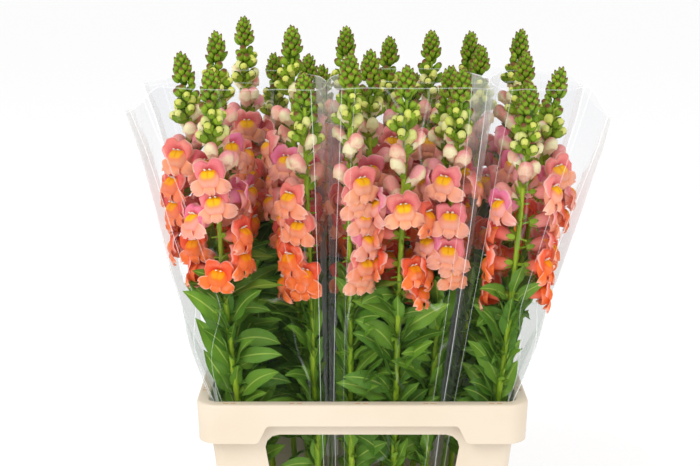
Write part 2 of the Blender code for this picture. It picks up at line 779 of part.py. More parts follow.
def make_stem(stem, parts):
    stalk = add_object(stem["name"], *stalk_solid(stem), STEM_SLOTS, parts)
    face_outwards(stalk)
    repeats = bpy.data.collections.new("repeats")
    bpy.context.scene.collection.children.link(repeats)
    solids = [(head_solid(stem), STEM_SLOTS.index("green_bud"))]
    solids += [(ORGAN_SOLIDS[organ["kind"]](stem, organ), organ_slot(organ)) for organ in stem["organs"]]
    pieces = []
    for number, (solid, slot) in enumerate(solids):
        piece = add_object(f"repeat_{number}", *solid, STEM_SLOTS, repeats, slot)
        face_outwards(piece)
        pieces.append(piece)
    bpy.context.view_layer.update()
    fuse(stalk, pieces, repeats)


def main():
    parts, cutters = start_scene()
    make_materials()
    stems = plan_stems()
    plan_organs(stems)
    make_bucket(parts)
    make_collar(parts, cutters)
    make_water(parts, cutters, stems)
    for name in SLEEVES:
        make_sleeve(name, parts)
    for stem in stems:
        make_stem(stem, parts)


main()
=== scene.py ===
"""Looks of the cut snapdragons that stand in clear film sleeves in a windowed flower crate.

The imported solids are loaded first. The plan of the stems is the same rule, with the same seed, as the
solids were made by, so every bloom, bud and leaf of a solid has its detailed one in the same place.
More blooms, buds and leaves, and the scales, cups and beads of the spikes, are then added along each
stem. Metres, +Z up, -Y the front.
"""

import json
import math
import random

import bmesh
import bpy
import numpy as np
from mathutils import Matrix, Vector

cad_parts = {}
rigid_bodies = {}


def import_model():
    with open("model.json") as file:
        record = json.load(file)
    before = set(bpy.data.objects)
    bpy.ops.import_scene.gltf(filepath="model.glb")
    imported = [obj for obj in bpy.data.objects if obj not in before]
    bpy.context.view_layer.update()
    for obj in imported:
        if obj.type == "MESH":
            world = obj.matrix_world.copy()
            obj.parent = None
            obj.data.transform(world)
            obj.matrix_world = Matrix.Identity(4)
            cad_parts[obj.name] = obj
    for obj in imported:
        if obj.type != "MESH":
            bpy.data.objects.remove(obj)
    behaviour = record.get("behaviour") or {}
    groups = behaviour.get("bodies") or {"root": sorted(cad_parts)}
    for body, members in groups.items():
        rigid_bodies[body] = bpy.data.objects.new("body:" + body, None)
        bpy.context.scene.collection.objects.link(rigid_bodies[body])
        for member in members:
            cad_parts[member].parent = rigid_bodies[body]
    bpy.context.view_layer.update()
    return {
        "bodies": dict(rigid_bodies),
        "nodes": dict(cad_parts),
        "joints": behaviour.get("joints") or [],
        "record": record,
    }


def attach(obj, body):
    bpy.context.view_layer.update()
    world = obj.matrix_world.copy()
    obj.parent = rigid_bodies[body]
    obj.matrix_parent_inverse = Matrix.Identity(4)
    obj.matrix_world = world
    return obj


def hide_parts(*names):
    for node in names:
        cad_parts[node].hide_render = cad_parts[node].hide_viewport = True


# Crate. Offsets called "inset" run inwards from the rim's outer face.
RIM_HEIGHT = 0.340
RIM_HALF_X = 0.200
RIM_HALF_Y = 0.150
RIM_CORNER = 0.026
FLANGE_WIDTH = 0.015
WALL = 0.003
DRAFT = math.tan(math.radians(5.5))
RIM_BEVEL = 0.0015
SKIRT_CORNER_DEPTH = 0.0497
SKIRT_MIDDLE_DEPTH = 0.027
SKIRT_STEP = 0.011  # how far the skirt's slanted step runs sideways
COLLAR_BOTTOM = 0.160
WINDOW_TOP = 0.2965
WINDOW_BOTTOM = 0.195
WINDOW_HALF_FRONT = 0.1175
WINDOW_HALF_SIDE = 0.074
WINDOW_CORNER = 0.017
BUCKET_TOP = 0.185
SOCKET_STEP = 0.006  # height of the slope under the bucket's socket band
GAP = 0.0003  # between touching pieces
CORNER_STEPS, FINE_STEPS = 3, 10  # along a round corner, in the solids and in the detailed crate
SLOT_APART = 0.0092  # between the middles of a pair of the rim's slots

# Film sleeves: the level where each leaves the collar, its lower end and its upper edge.
SLEEVE_BOTTOM = 0.215
SLEEVE_RIM = RIM_HEIGHT - RIM_BEVEL
SLEEVE_TOP = 0.700
FILM = 0.0007
FACET_SAG = 0.0016  # how far the film's flat facets lie inside its true curve
BOXY, ROUND = 8.0, 3.2  # superellipse exponents at the collar and at the upper edge
SLEEVES = {
    # name: left, right, front, back at the lower end, at the collar and at the upper edge
    "sleeve_front_left": (
        (-0.165, -0.040, -0.102, -0.002),
        (-0.1845, -0.043, -0.1345, -0.001),
        (-0.275, -0.043, -0.197, -0.003),
    ),
    "sleeve_front_middle": (
        (-0.038, 0.092, -0.102, -0.002),
        (-0.041, 0.103, -0.1345, -0.001),
        (-0.041, 0.149, -0.200, -0.003),
    ),
    "sleeve_front_right": (
        (0.094, 0.165, -0.102, -0.002),
        (0.105, 0.1845, -0.1345, -0.001),
        (0.151, 0.275, -0.197, -0.003),
    ),
    "sleeve_back_left": (
        (-0.165, 0.006, 0.000, 0.102),
        (-0.1845, 0.006, 0.001, 0.1345),
        (-0.270, 0.008, -0.001, 0.200),
    ),
    "sleeve_back_right": (
        (0.008, 0.165, 0.000, 0.102),
        (0.008, 0.1845, 0.001, 0.1345),
        (0.010, 0.270, -0.001, 0.200),
    ),
}

# Stems of each sleeve: tip x, y and z, drop from the tip to the first open bloom, the bloom's compass
# facing, and how soon the stem's blooms turn orange.
PLANTING = {
    "sleeve_front_left": (
        (-0.172, -0.150, 0.742, 0.132, -95, 0.20),
        (-0.067, -0.136, 0.735, 0.148, -135, 0.30),
        (-0.212, -0.100, 0.756, 0.124, -105, 0.45),
        (-0.174, -0.055, 0.776, 0.140, -60, 0.00),
        (-0.084, -0.050, 0.782, 0.150, 200, -0.20),
    ),
    "sleeve_front_middle": (
        (-0.015, -0.138, 0.758, 0.152, -75, -0.30),
        (0.049, -0.152, 0.746, 0.160, -135, 0.30),
        (0.114, -0.138, 0.741, 0.130, -110, -0.35),
        (0.009, -0.072, 0.756, 0.138, 60, 0.10),
        (0.104, -0.082, 0.738, 0.134, -50, -0.10),
    ),
    "sleeve_front_right": (
        (0.188, -0.150, 0.726, 0.140, -90, 0.20),
        (0.232, -0.098, 0.738, 0.126, -60, 0.25),
        (0.196, -0.050, 0.750, 0.136, 60, 0.00),
    ),
    "sleeve_back_left": (
        (-0.150, 0.062, 0.785, 0.136, -90, -0.10),
        (-0.116, 0.126, 0.733, 0.130, 120, 0.10),
        (-0.196, 0.100, 0.712, 0.128, 170, -0.20),
        (-0.068, 0.060, 0.738, 0.140, -70, 0.00),
        (-0.052, 0.140, 0.716, 0.132, 80, 0.15),
        (-0.020, 0.056, 0.773, 0.144, 180, -0.30),
    ),
    "sleeve_back_right": (
        (0.036, 0.076, 0.759, 0.138, -90, 0.25),
        (0.072, 0.136, 0.706, 0.126, 90, 0.00),
        (0.088, 0.044, 0.769, 0.146, -120, -0.15),
        (0.142, 0.094, 0.764, 0.140, -80, 0.20),
        (0.150, 0.038, 0.751, 0.132, -40, 0.10),
        (0.206, 0.076, 0.768, 0.136, 10, -0.25),
    ),
}
RIM_SHARE = np.array((0.90, 0.78))  # a stem's x and y at the rim, as shares of its tip's
RIM_ROOM = 0.016  # from a stem's middle to its sleeve, there
FOOT_SHARE = np.array((0.75, 0.45))  # its foot, as shares of its place at the rim
STRAIGHT = 0.120  # a stem is straight up to this height, and curves outwards above it
BOW = 0.003  # the most that a stem leaves its curve
FOOT_Z = WALL + GAP
STALK_FOOT_R = 0.0040
STALK_TOP_R = 0.0024
SEED = 41

# Organs, at true size.
HEAD_LENGTH = 0.055
HEAD_RADIUS = 0.0130
BLOOMS = 6
BLOOM_PITCH = 0.0225
BLOOM_TURN = 120
BLOOM_SIZES = (0.98, 0.92, 0.86, 0.80, 0.74, 0.68)
PALE_BUDS = 4
PALE_PITCH = 0.0165
PALE_TURN = 137
LEAVES = 6
LEAF_TOP_DROP = 0.036  # below the last bloom
LEAF_PITCH = 0.040
LEAF_TURN = 100
LEAF_LENGTH = (0.062, 0.082)
LEAF_WIDTH = 0.021
NESTING = 0.004  # how far organs of one stem may grow into each other
CLEARANCE = 0.0009  # the least air between organs of different stems, or an organ and the film


# Crate shapes and the plan of the stems, as in the solids


def rounded_ring(inset, z, corner_steps=CORNER_STEPS):
    """A rounded rectangle, this far inside the rim's outer face, at height z."""
    radius = max(RIM_CORNER - inset, 0.010)
    points = []
    for quarter in range(4):
        turn = math.pi / 2 * quarter
        sign_x, sign_y = ((1, 1), (-1, 1), (-1, -1), (1, -1))[quarter]
        centre_x = sign_x * (RIM_HALF_X - inset - radius)
        centre_y = sign_y * (RIM_HALF_Y - inset - radius)
        for step in range(corner_steps + 1):
            angle = turn + math.pi / 2 * step / corner_steps
            points.append((centre_x + radius * math.cos(angle), centre_y + radius * math.sin(angle), z))
    return points


def wall_inset(z):
    """Inset of the walls' inner face, which the draft carries inwards going down."""
    return FLANGE_WIDTH + (RIM_HEIGHT - z) * DRAFT


def window_outline(half_width):
    """A window with round corners, its sides leaning in with the walls' draft."""
    lean = (WINDOW_TOP - WINDOW_BOTTOM) * DRAFT
    points = []
    corners = (
        (half_width, WINDOW_TOP, 0, 1, 1),
        (-half_width, WINDOW_TOP, 90, -1, 1),
        (-half_width + lean, WINDOW_BOTTOM, 180, -1, -1),
        (half_width - lean, WINDOW_BOTTOM, 270, 1, -1),
    )
    for side, z, start, sign_x, sign_z in corners:
        for step in range(CORNER_STEPS + 1):
            angle = math.radians(start + 90 * step / CORNER_STEPS)
            points.append(
                (
                    side - sign_x * WINDOW_CORNER + WINDOW_CORNER * math.cos(angle),
                    z - sign_z * WINDOW_CORNER + WINDOW_CORNER * math.sin(angle),
                )
            )
    return points


def sleeve_section(name, z):
    """Centre, half sizes and superellipse exponent of a sleeve at height z."""
    low, rim, top = (np.array(box) for box in SLEEVES[name])
    if z < SLEEVE_RIM:
        share = (z - SLEEVE_BOTTOM) / (SLEEVE_RIM - SLEEVE_BOTTOM)
        box, exponent = low + (rim - low) * share, BOXY
    else:
        share = (z - SLEEVE_RIM) / (SLEEVE_TOP - SLEEVE_RIM)
        box, exponent = rim + (top - rim) * share, BOXY + (ROUND - BOXY) * min(share, 1)
    left, right, front, back = box
    return (left + right) / 2, (front + back) / 2, (right - left) / 2, (back - front) / 2, exponent


# Stems: the plan


def stem_axis(stem, z):
    """The stem's middle at height z: a straight foot, a growing outward curve and a slight bow."""
    share = max(z - STRAIGHT, 0) / (stem["tip"][2] - STRAIGHT)
    place = stem["foot"] + stem["lean"] * z + stem["curve"] * share**2
    place += stem["bow"] * math.sin(math.pi * share) ** 2
    return Vector((place[0], place[1], z))


def stalk_radius(stem, z):
    """The foot's radius, less the square of the share of the height times all that the stalk tapers."""
    share = min(max((z - FOOT_Z) / (stem["tip"][2] - FOOT_Z), 0), 1)
    return STALK_FOOT_R + (STALK_TOP_R - STALK_FOOT_R) * share**2


def plan_stems():
    """Every stem's tip, foot, lean and curve. At the rim it stands at a share of its tip's place, kept
    inside its sleeve."""
    draw = random.Random(SEED)
    stems = []
    planted = [(sleeve, *row) for sleeve, rows in PLANTING.items() for row in rows]
    for index, (sleeve, x, y, z, drop, facing, warmth) in enumerate(planted):
        angle = draw.uniform(0, 2 * math.pi)
        bow = BOW * np.array((math.cos(angle), math.sin(angle)))
        stem = {"name": f"stem_{index + 1:02d}", "index": index, "sleeve": sleeve, "tip": (x, y, z)}
        stem.update(bow=bow, drop=drop, facing=facing, warmth=warmth, organs=[])
        tip, rim = np.array((x, y)), np.array(sleeve_section(sleeve, SLEEVE_RIM)[:4])
        room = rim[2:] - RIM_ROOM
        at_rim = np.clip(tip * RIM_SHARE, rim[:2] - room, rim[:2] + room)
        stem["foot"] = at_rim * FOOT_SHARE
        stem["lean"] = (at_rim - stem["foot"]) / RIM_HEIGHT
        stem["curve"] = tip - stem["foot"] - stem["lean"] * z
        stems.append(stem)
    return stems


def organ_frame(stem, z, facing, pitch):
    """Origin on the stem's axis, and unit vectors outwards, sideways and up, tilted by pitch."""
    a, p = math.radians(facing), math.radians(pitch)
    level = Vector((math.cos(a), math.sin(a), 0))
    side = Vector((-math.sin(a), math.cos(a), 0))
    up = Vector((0, 0, 1))
    out = level * math.cos(p) + up * math.sin(p)
    return stem_axis(stem, z), out, side, up * math.cos(p) - level * math.sin(p)


def placed(frame, local):
    """A point given outwards, sideways and up in an organ's frame."""
    origin, out, side, up = frame
    return origin + out * local[0] + side * local[1] + up * local[2]


BLOOM_PROBES = (
    # x, y, z and radius of the balls that stand for a bloom when its room is looked for
    (0.015, 0, 0, 0.0075),
    (0.026, 0, -0.002, 0.0115),
    (0.025, 0.012, 0.012, 0.0090),
    (0.025, -0.012, 0.012, 0.0090),
    (0.027, 0.012, -0.010, 0.0090),
    (0.027, -0.012, -0.010, 0.0090),
    (0.027, 0, -0.014, 0.0080),
)
PALE_PROBES = ((0.013, 0, 0.001, 0.0090), (0.020, 0, -0.003, 0.0070))


def leaf_line(length, pitch, droop, steps):
    """Points (out, up) along a leaf's rib, which starts at pitch and bends down by droop degrees."""
    line = [(0.0, 0.0)]
    for step in range(steps):
        angle = math.radians(pitch - droop * (step + 0.5) / steps)
        out, up = line[-1]
        line.append((out + length / steps * math.cos(angle), up + length / steps * math.sin(angle)))
    return line


def leaf_width(share):
    """Half width of a leaf at a share s of its length, for a full width of 1: half sin(pi s^0.8)^0.8."""
    return 0.5 * math.sin(math.pi * share**0.8) ** 0.8 if 0 < share < 1 else 0.0


def leaf_probes(stem, organ):
    """Balls along the rib of a planned leaf and at three fifths of its half width."""
    frame = organ_frame(stem, organ["z"], organ["facing"], 0)
    line = leaf_line(organ["length"], organ["pitch"], organ["droop"], 14)
    probes = []
    for step in range(2, 15):
        out, up = line[step]
        wide = LEAF_WIDTH * leaf_width(step / 14) * 0.6
        for side in (-wide, 0, wide) if wide else (0,):
            probes.append((*placed(frame, (out, side, up)), 0.0026))
    return probes


def rib_probes(stem, organ):
    """Balls along the rib of an extra leaf, whose blade lies along the film and not across it."""
    frame = organ_frame(stem, organ["z"], organ["facing"], 0)
    line = leaf_line(organ["length"], organ["pitch"], organ["droop"], 8)
    return np.array([(*placed(frame, (out, 0, up)), 0.0045) for out, up in line[2:]])


def organ_probes(stem, organ):
    """The balls that stand for an organ, as rows of x, y, z and radius."""
    if organ["kind"] == "leaf":
        return np.array(leaf_probes(stem, organ))
    if organ["kind"] == "extra leaf":
        return rib_probes(stem, organ)
    table = BLOOM_PROBES if organ["kind"] == "bloom" else PALE_PROBES
    frame = organ_frame(stem, organ["z"], organ["facing"], organ["pitch"])
    size = organ["size"]
    probes = []
    for x, y, z, radius in table:
        probes.append((*placed(frame, (x * size, y * size, z * size)), radius * size))
    return np.array(probes)


def stalk_probes(stem):
    """Balls along the stalk, and wider ones along the spike at its top."""
    tip = stem["tip"][2]
    probes = []
    for z in np.arange(SLEEVE_BOTTOM, tip, 0.004):
        radius = stalk_radius(stem, z) if z < tip - HEAD_LENGTH - 0.004 else HEAD_RADIUS
        probes.append((*stem_axis(stem, z), radius))
    return np.array(probes)


class Crowd:
    """Everything placed so far, as balls that know the stem they grow on."""

    def __init__(self, stems):
        self.balls = np.concatenate([stalk_probes(stem) for stem in stems])
        counts = [len(stalk_probes(stem)) for stem in stems]
        self.owners = np.repeat([stem["index"] for stem in stems], counts)
        self.is_stalk = np.ones(len(self.balls), bool)

    def has_room(self, stem, probes):
        """Whether balls clear their sleeve and all that stands near them. Organs of one stem may nest."""
        if not all(in_sleeve(stem["sleeve"], ball) for ball in probes):
            return False
        own = self.owners == stem["index"]
        middle = probes[:, :3].mean(axis=0)
        reach = np.linalg.norm(probes[:, :3] - middle, axis=1).max() + 0.030
        near = np.linalg.norm(self.balls[:, :3] - middle, axis=1) < reach
        near &= ~(own & self.is_stalk)
        others = self.balls[near]
        apart = np.linalg.norm(probes[:, None, :3] - others[None, :, :3], axis=2)
        free = apart - probes[:, None, 3] - others[None, :, 3] + np.where(own[near], NESTING, 0)
        return free.min(initial=1) > CLEARANCE

    def add(self, stem, probes):
        """Takes in the balls of an organ of the stem."""
        self.balls = np.concatenate([self.balls, probes])
        self.owners = np.append(self.owners, [stem["index"]] * len(probes))
        self.is_stalk = np.append(self.is_stalk, [False] * len(probes))


def in_sleeve(name, ball):
    """Whether a ball clears its sleeve: |x / a|^n + |y / b|^n < 1, a and b less the ball and the film."""
    x, y, z, radius = ball
    if z - radius > SLEEVE_TOP:
        return True
    centre_x, centre_y, half_x, half_y, exponent = sleeve_section(name, z)
    margin = radius + FILM + CLEARANCE + FACET_SAG
    across = abs(x - centre_x) / (half_x - margin)
    deep = abs(y - centre_y) / (half_y - margin)
    if z <= SLEEVE_BOTTOM + radius or across >= 1 or deep >= 1:
        return False
    return across**exponent + deep**exponent < 1


def settle(crowd, stem, choices):
    """Keeps the first of the choices that has room."""
    for organ in choices:
        probes = organ_probes(stem, organ)
        if crowd.has_room(stem, probes):
            crowd.add(stem, probes)
            stem["organs"].append(organ)
            return


def turned(step):
    """0, +step, -step, +2 steps, -2 steps and so on, out to 90 degrees."""
    return [0] + [sign * k * step for k in range(1, int(90 / step) + 1) for sign in (1, -1)]


def bloom_choices(stem, tier, draw):
    """A planned bloom's places: the wished one first, then turned, raised, lowered and smaller ones."""
    z = stem["tip"][2] - stem["drop"] - tier * BLOOM_PITCH + draw.uniform(-0.002, 0.002)
    facing = stem["facing"] + tier * BLOOM_TURN + draw.uniform(-12, 12)
    pitch = draw.uniform(-2, 14)
    for size in BLOOM_SIZES:
        for turn in turned(9):
            for lift in (0, 0.005, -0.005, 0.010, -0.010):
                organ = {"kind": "bloom", "tier": tier, "z": z + lift, "facing": facing + turn}
                yield {**organ, "pitch": pitch, "size": size}


def pale_choices(stem, tier, draw):
    """A planned pale bud's places, larger and flatter with every tier down."""
    z = stem["tip"][2] - HEAD_LENGTH - 0.010 - tier * PALE_PITCH + draw.uniform(-0.002, 0.002)
    facing = stem["facing"] + 60 - tier * PALE_TURN + draw.uniform(-10, 10)
    grown = 0.58 + 0.14 * tier
    for share in (1, 0.85, 0.7):
        for turn in turned(10):
            organ = {"kind": "pale", "tier": tier, "z": z, "facing": facing + turn}
            yield {**organ, "pitch": 28 - 4 * tier, "size": grown * share}


def leaf_choices(stem, tier, draw):
    """A planned leaf's places, then turned, steeper and shorter ones."""
    last_bloom = stem["drop"] + (BLOOMS - 1) * BLOOM_PITCH
    z = stem["tip"][2] - last_bloom - LEAF_TOP_DROP - tier * LEAF_PITCH + draw.uniform(-0.004, 0.004)
    facing = stem["facing"] + 40 + tier * LEAF_TURN + draw.uniform(-12, 12)
    length = draw.uniform(*LEAF_LENGTH)
    pitch, droop = draw.uniform(38, 58), draw.uniform(25, 60)
    for share in (1, 0.85, 0.7, 0.55):
        for steeper in (0, 12, 24):
            for turn in turned(12):
                organ = {"kind": "leaf", "tier": tier, "z": z, "facing": facing + turn}
                organ.update(length=length * share, pitch=pitch + steeper, droop=droop)
                yield organ


def plan_organs(stems):
    """Blooms first, then pale buds, then leaves, a tier of every stem at a time."""
    crowd = Crowd(stems)
    draw = random.Random(SEED + 1)
    for count, choices in ((BLOOMS, bloom_choices), (PALE_BUDS, pale_choices), (LEAVES, leaf_choices)):
        for tier in range(count):
            for stem in stems:
                settle(crowd, stem, choices(stem, tier, draw))


# Added in the dressed stems

GOLDEN = 137.5  # degrees from one organ to the next
MORE_BLOOM_TIERS = (0.5, 2.2, 3.8, 1.4, 4.7, 5.7, 6.6, 3.0, 7.4)
OUTWARD_TURNS = (0, 40, -40, 15, -15, 65, -65, 30, -30)  # theirs on outer stems, from straight outwards
FRONT_BLOOMS = 5  # as many of them on a stem in front
MORE_BUDS = 6
MORE_LEAVES = 80
MORE_LEAF_PITCH = 0.0045
LEAFLESS_FRONT, LEAFLESS_BACK = 5.2, 3.0  # tiers of blooms above a stem's first extra leaf
SHORT_LEAVES, SHORTENED = 10, 0.66  # so many uppermost leaves are this share of their length
PRESS = 0.003  # how far extra organs may press into each other
SPIKE = (
    # kind, count, first and last one's drop from the tip to its end, length of its skin in millimetres
    ("scale", 30, 0.0010, 0.0300, 10.0),
    ("cup", 7, 0.0310, 0.0460, 12.0),
    ("bead", 8, 0.0440, 0.0720, 17.0),
)
SPINDLE_DROPS = (1, 2, 5, 9, 14, 20, 30, 45, 60, 80)  # millimetres below the tip
SPINDLE_RADII = (1.0, 3.8, 6.8, 8.8, 10.4, 11.8, 14.2, 17.0, 20.0, 22.5)  # the spike's radius there
BLOOM_DRAWN = (0.52, 0.60)  # a bloom is drawn at the first, plus the second times its planned size
BUD_DRAWN, BUD_STEEPER = 1.26, 36  # a bud's size over its planned one, and degrees it is steeper by
LEAF_DRAWN = (1.02, 1.28)  # a leaf's width over the solid leaf's
STAND_OFF = 0.009  # of the outermost blooms from their stalks
TUFTS, TUFT_SHARE = 4, 0.25  # small leaves in a leaf's axil, and the share of the leaves that have them
WARMER, WARMTH_SPREAD = 0.19, 0.22  # how much a bloom is older for each tier down, and by chance
BLOOM_SKINS, BUD_SKINS = 8, 5
STALK, LEAF, CALYX, BUD, PETAL = range(5)  # material slots of a dressed stem


# Skins: grids of points that are turned, placed and gathered into one mesh


class Skin:
    """Points with a uv place and two shades each, and faces of four or three corners with a slot."""

    def __init__(self, points, uv, shades, quads, triangles, quad_slots, triangle_slots):
        self.points, self.uv, self.shades = points, uv, shades
        self.quads, self.triangles = quads, triangles
        self.quad_slots, self.triangle_slots = quad_slots, triangle_slots

    def arrays(self, start=0):
        """All of it, in order, for a mesh in which its points begin at start."""
        faces = (self.quads + start, self.triangles + start, self.quad_slots, self.triangle_slots)
        return (self.points, self.uv, self.shades, *faces)


def quads_of(index):
    """The four corners of every cell of a grid of point numbers."""
    corners = (index[:-1, :-1], index[:-1, 1:], index[1:, 1:], index[1:, :-1])
    return np.stack(corners, -1).reshape(-1, 4)


def patch(points, slot, tone=0.0, spot=0.0, wrap=False):
    """A skin through a grid of points, rows by columns by 3. The uv runs from 0 to 1 across the columns
    and along the rows. A row whose points all meet closes the skin there, and wrap joins the last
    column to the first. tone and spot are numbers or arrays of the grid's shape."""
    rows, columns = points.shape[:2]
    index = np.arange(rows * columns).reshape(rows, columns)
    pinched = np.ptp(points, axis=1).max(axis=1) < 1e-7
    index[pinched] = index[pinched, :1]
    if wrap:
        index = np.hstack((index, index[:, :1]))
    corners = quads_of(index)
    low, high = corners[:, 0] == corners[:, 1], corners[:, 2] == corners[:, 3]
    quads = corners[~low & ~high]
    triangles = np.concatenate((corners[low & ~high][:, [0, 2, 3]], corners[high & ~low][:, :3]))
    used, places = np.unique(np.concatenate((quads.ravel(), triangles.ravel())), return_inverse=True)
    quads, triangles = places[: quads.size].reshape(-1, 4), places[quads.size :].reshape(-1, 3)
    across, along = np.meshgrid(np.linspace(0, 1, columns), np.linspace(0, 1, rows))
    shape = (rows, columns)
    shades = np.stack((np.broadcast_to(tone, shape), np.broadcast_to(spot, shape)), -1)
    return Skin(
        points.reshape(-1, 3)[used],
        np.stack((across, along), -1).reshape(-1, 2)[used],
        shades.reshape(-1, 2)[used],
        quads,
        triangles,
        np.full(len(quads), slot),
        np.full(len(triangles), slot),
    )


def joined(skins):
    """One skin of several."""
    starts = np.cumsum([0] + [len(skin.points) for skin in skins[:-1]])
    parts = [skin.arrays(start) for skin, start in zip(skins, starts)]
    return Skin(*(np.concatenate(arrays) for arrays in zip(*parts)))


class Heap:
    """Placed copies of skins, which become one object. Every copy has a chance value and an age."""

    def __init__(self):
        self.skins, self.extras = [], []

    def add(self, skin, turn=np.eye(3), origin=(0, 0, 0), size=1.0, chance=0.5, age=0.5):
        """turn has the copy's x, y and z directions as rows."""
        points = skin.points * size @ turn + np.asarray(origin)
        self.skins.append(Skin(points, *skin.arrays()[1:]))
        self.extras.append(np.broadcast_to((chance, age), (len(skin.points), 2)))

    def to_object(self, name, materials):
        """One mesh of all of them, with tone, spot, chance and age as its points' shade."""
        whole = joined(self.skins)
        mesh = bpy.data.meshes.new(name)
        mesh.vertices.add(len(whole.points))
        mesh.vertices.foreach_set("co", whole.points.astype(np.float32).ravel())
        corners = np.concatenate((whole.quads.ravel(), whole.triangles.ravel())).astype(np.int32)
        quads, triangles = len(whole.quads), len(whole.triangles)
        starts = np.concatenate((np.arange(quads) * 4, quads * 4 + np.arange(triangles) * 3))
        mesh.loops.add(len(corners))
        mesh.loops.foreach_set("vertex_index", corners)
        mesh.polygons.add(quads + triangles)
        mesh.polygons.foreach_set("loop_start", starts.astype(np.int32))
        slots = np.concatenate((whole.quad_slots, whole.triangle_slots)).astype(np.int32)
        mesh.polygons.foreach_set("material_index", slots)
        mesh.polygons.foreach_set("use_smooth", np.ones(quads + triangles, bool))
        layer = mesh.uv_layers.new(name="place")
        layer.data.foreach_set("uv", whole.uv[corners].astype(np.float32).ravel())
        shade = mesh.attributes.new("shade", "FLOAT_COLOR", "POINT")
        values = np.hstack((whole.shades, np.concatenate(self.extras))).astype(np.float32)
        shade.data.foreach_set("color", values.ravel())
        mesh.update(calc_edges=True)
        mesh.validate()
        for material in materials:
            mesh.materials.append(material)
        return link(bpy.data.objects.new(name, mesh))


def link(obj):
    """Puts an object in the scene."""
    bpy.context.scene.collection.objects.link(obj)
    return obj


def tube(spine, wide, high, slot, columns=10, tone=0.0, spot=0.0):
    """A skin round a spine of (x, z) points in the plane y = 0, with half sizes sideways and across
    the spine in that plane. A zero half size closes it."""
    spine = np.asarray(spine, float)
    run = np.gradient(spine, axis=0)
    run /= np.linalg.norm(run, axis=1)[:, None]
    turns = np.linspace(0, 2 * np.pi, columns, endpoint=False)
    wide, high = np.asarray(wide, float)[:, None], np.asarray(high, float)[:, None]
    lift = high * np.sin(turns)
    x = spine[:, :1] - run[:, 1:] * lift
    z = spine[:, 1:] + run[:, :1] * lift
    return patch(np.stack((x, wide * np.cos(turns), z), -1), slot, tone, spot, wrap=True)


def smooth(low, high, value):
    """0 below low, 1 above high, and an S curve between."""
    share = np.clip((np.asarray(value, float) - low) / (high - low), 0, 1)
    return share * share * (3 - 2 * share)


def bent_line(length, start, bend, count):
    """Points (x, z) along a line of this length that starts at start degrees and bends down by bend."""
    v = np.linspace(0, 1, count)
    slope = np.radians(start - bend * (v[1:] + v[:-1]) / 2)
    steps = np.stack((np.cos(slope), np.sin(slope)), -1) * length / (count - 1)
    return np.concatenate(([[0, 0]], np.cumsum(steps, axis=0)))


# Organs, in millimetres about the point on the stalk's axis they grow from: x outwards, z up


def sepals(start, reach, foot, mouth, half, count=5, turn=90.0):
    """Pointed green lobes round the x axis, from x = start for a length of reach, their distance from
    it growing from foot to mouth, each with its tip as the spot."""
    v = np.linspace(0, 1, 5)[:, None]
    u = np.linspace(-1, 1, 3)
    far = foot + (mouth - foot) * v**0.7 - 0.25 * u**2
    width = half * np.sin(np.pi * (0.16 + 0.84 * v)) ** 0.7
    skins = []
    for k in range(count):
        angle = math.radians(turn + 360 / count * k)
        y = far * math.cos(angle) - width * u * math.sin(angle)
        z = far * math.sin(angle) + width * u * math.cos(angle)
        x = start + reach * v + 0 * u
        skins.append(patch(np.stack((x, y, z), -1), CALYX, 0.4, smooth(0.72, 1.0, v) + 0 * u))
    return joined(skins)


def upper_lip(draw):
    """A broad hood with a shallow notch, rolled back and ruffled. At t degrees from the middle its edge
    lies about 12.6 + 7.6 exp(-((|t| - 46) / 50)^2) - 1.8 exp(-(t / 7)^2) from the throat."""
    t = np.linspace(-120, 120, 25)
    v = np.linspace(0, 1, 8)[:, None]
    turn = np.radians(t)
    a, b = draw.uniform(0, 6.28), draw.uniform(0, 6.28)
    crest = draw.uniform(6.2, 9.0)
    edge = 12.6 + crest * np.exp(-(((np.abs(t) - 46) / 50) ** 2)) - 1.8 * np.exp(-((t / 7) ** 2))
    edge = edge + 1.0 * np.sin(turn * 5 + a) + 0.6 * np.sin(turn * 11 + b)
    edge *= 1 + draw.uniform(-0.08, 0.08) * np.sin(turn)
    radius = 6.8 + (edge - 6.8) * np.sin(1.4 * v)
    curl = draw.uniform(4.5, 11.5)
    x = 27.0 + (6.6 * np.sin(2.2 * v) - curl * v**2.6) * np.cos(turn * 0.6)
    x = x - 1.9 * np.exp(-((t / 10) ** 2)) * np.sin(np.pi * v)
    x = x + (1.7 * np.sin(turn * 5 + b) + 0.8 * np.sin(turn * 11 + a)) * v**3
    return patch(np.stack((x, radius * np.sin(turn), 0.5 + radius * np.cos(turn)), -1), PETAL, 1.0, 0.0)


def palate():
    """The closed throat: two humps with a shallow groove between them, glowing at its top."""
    a = np.radians(np.linspace(-90, 90, 13))
    b = np.radians(np.linspace(-84, 80, 9))[:, None]
    y = 12.6 * np.sin(a) * np.cos(b) ** 0.6
    z = -3.8 + 10.6 * np.sin(b) + 0 * a
    x = 21.5 + 15.0 * np.abs(np.cos(a)) ** 0.75 * np.cos(b) ** 0.7
    x = x - 2.0 * np.exp(-((y / 1.7) ** 2)) * np.cos(b)
    glow = smooth(-8.0, 3.5, z) * smooth(11.5, 4.0, np.abs(y))
    return patch(np.stack((x, y, z), -1), PETAL, 0.15, glow)


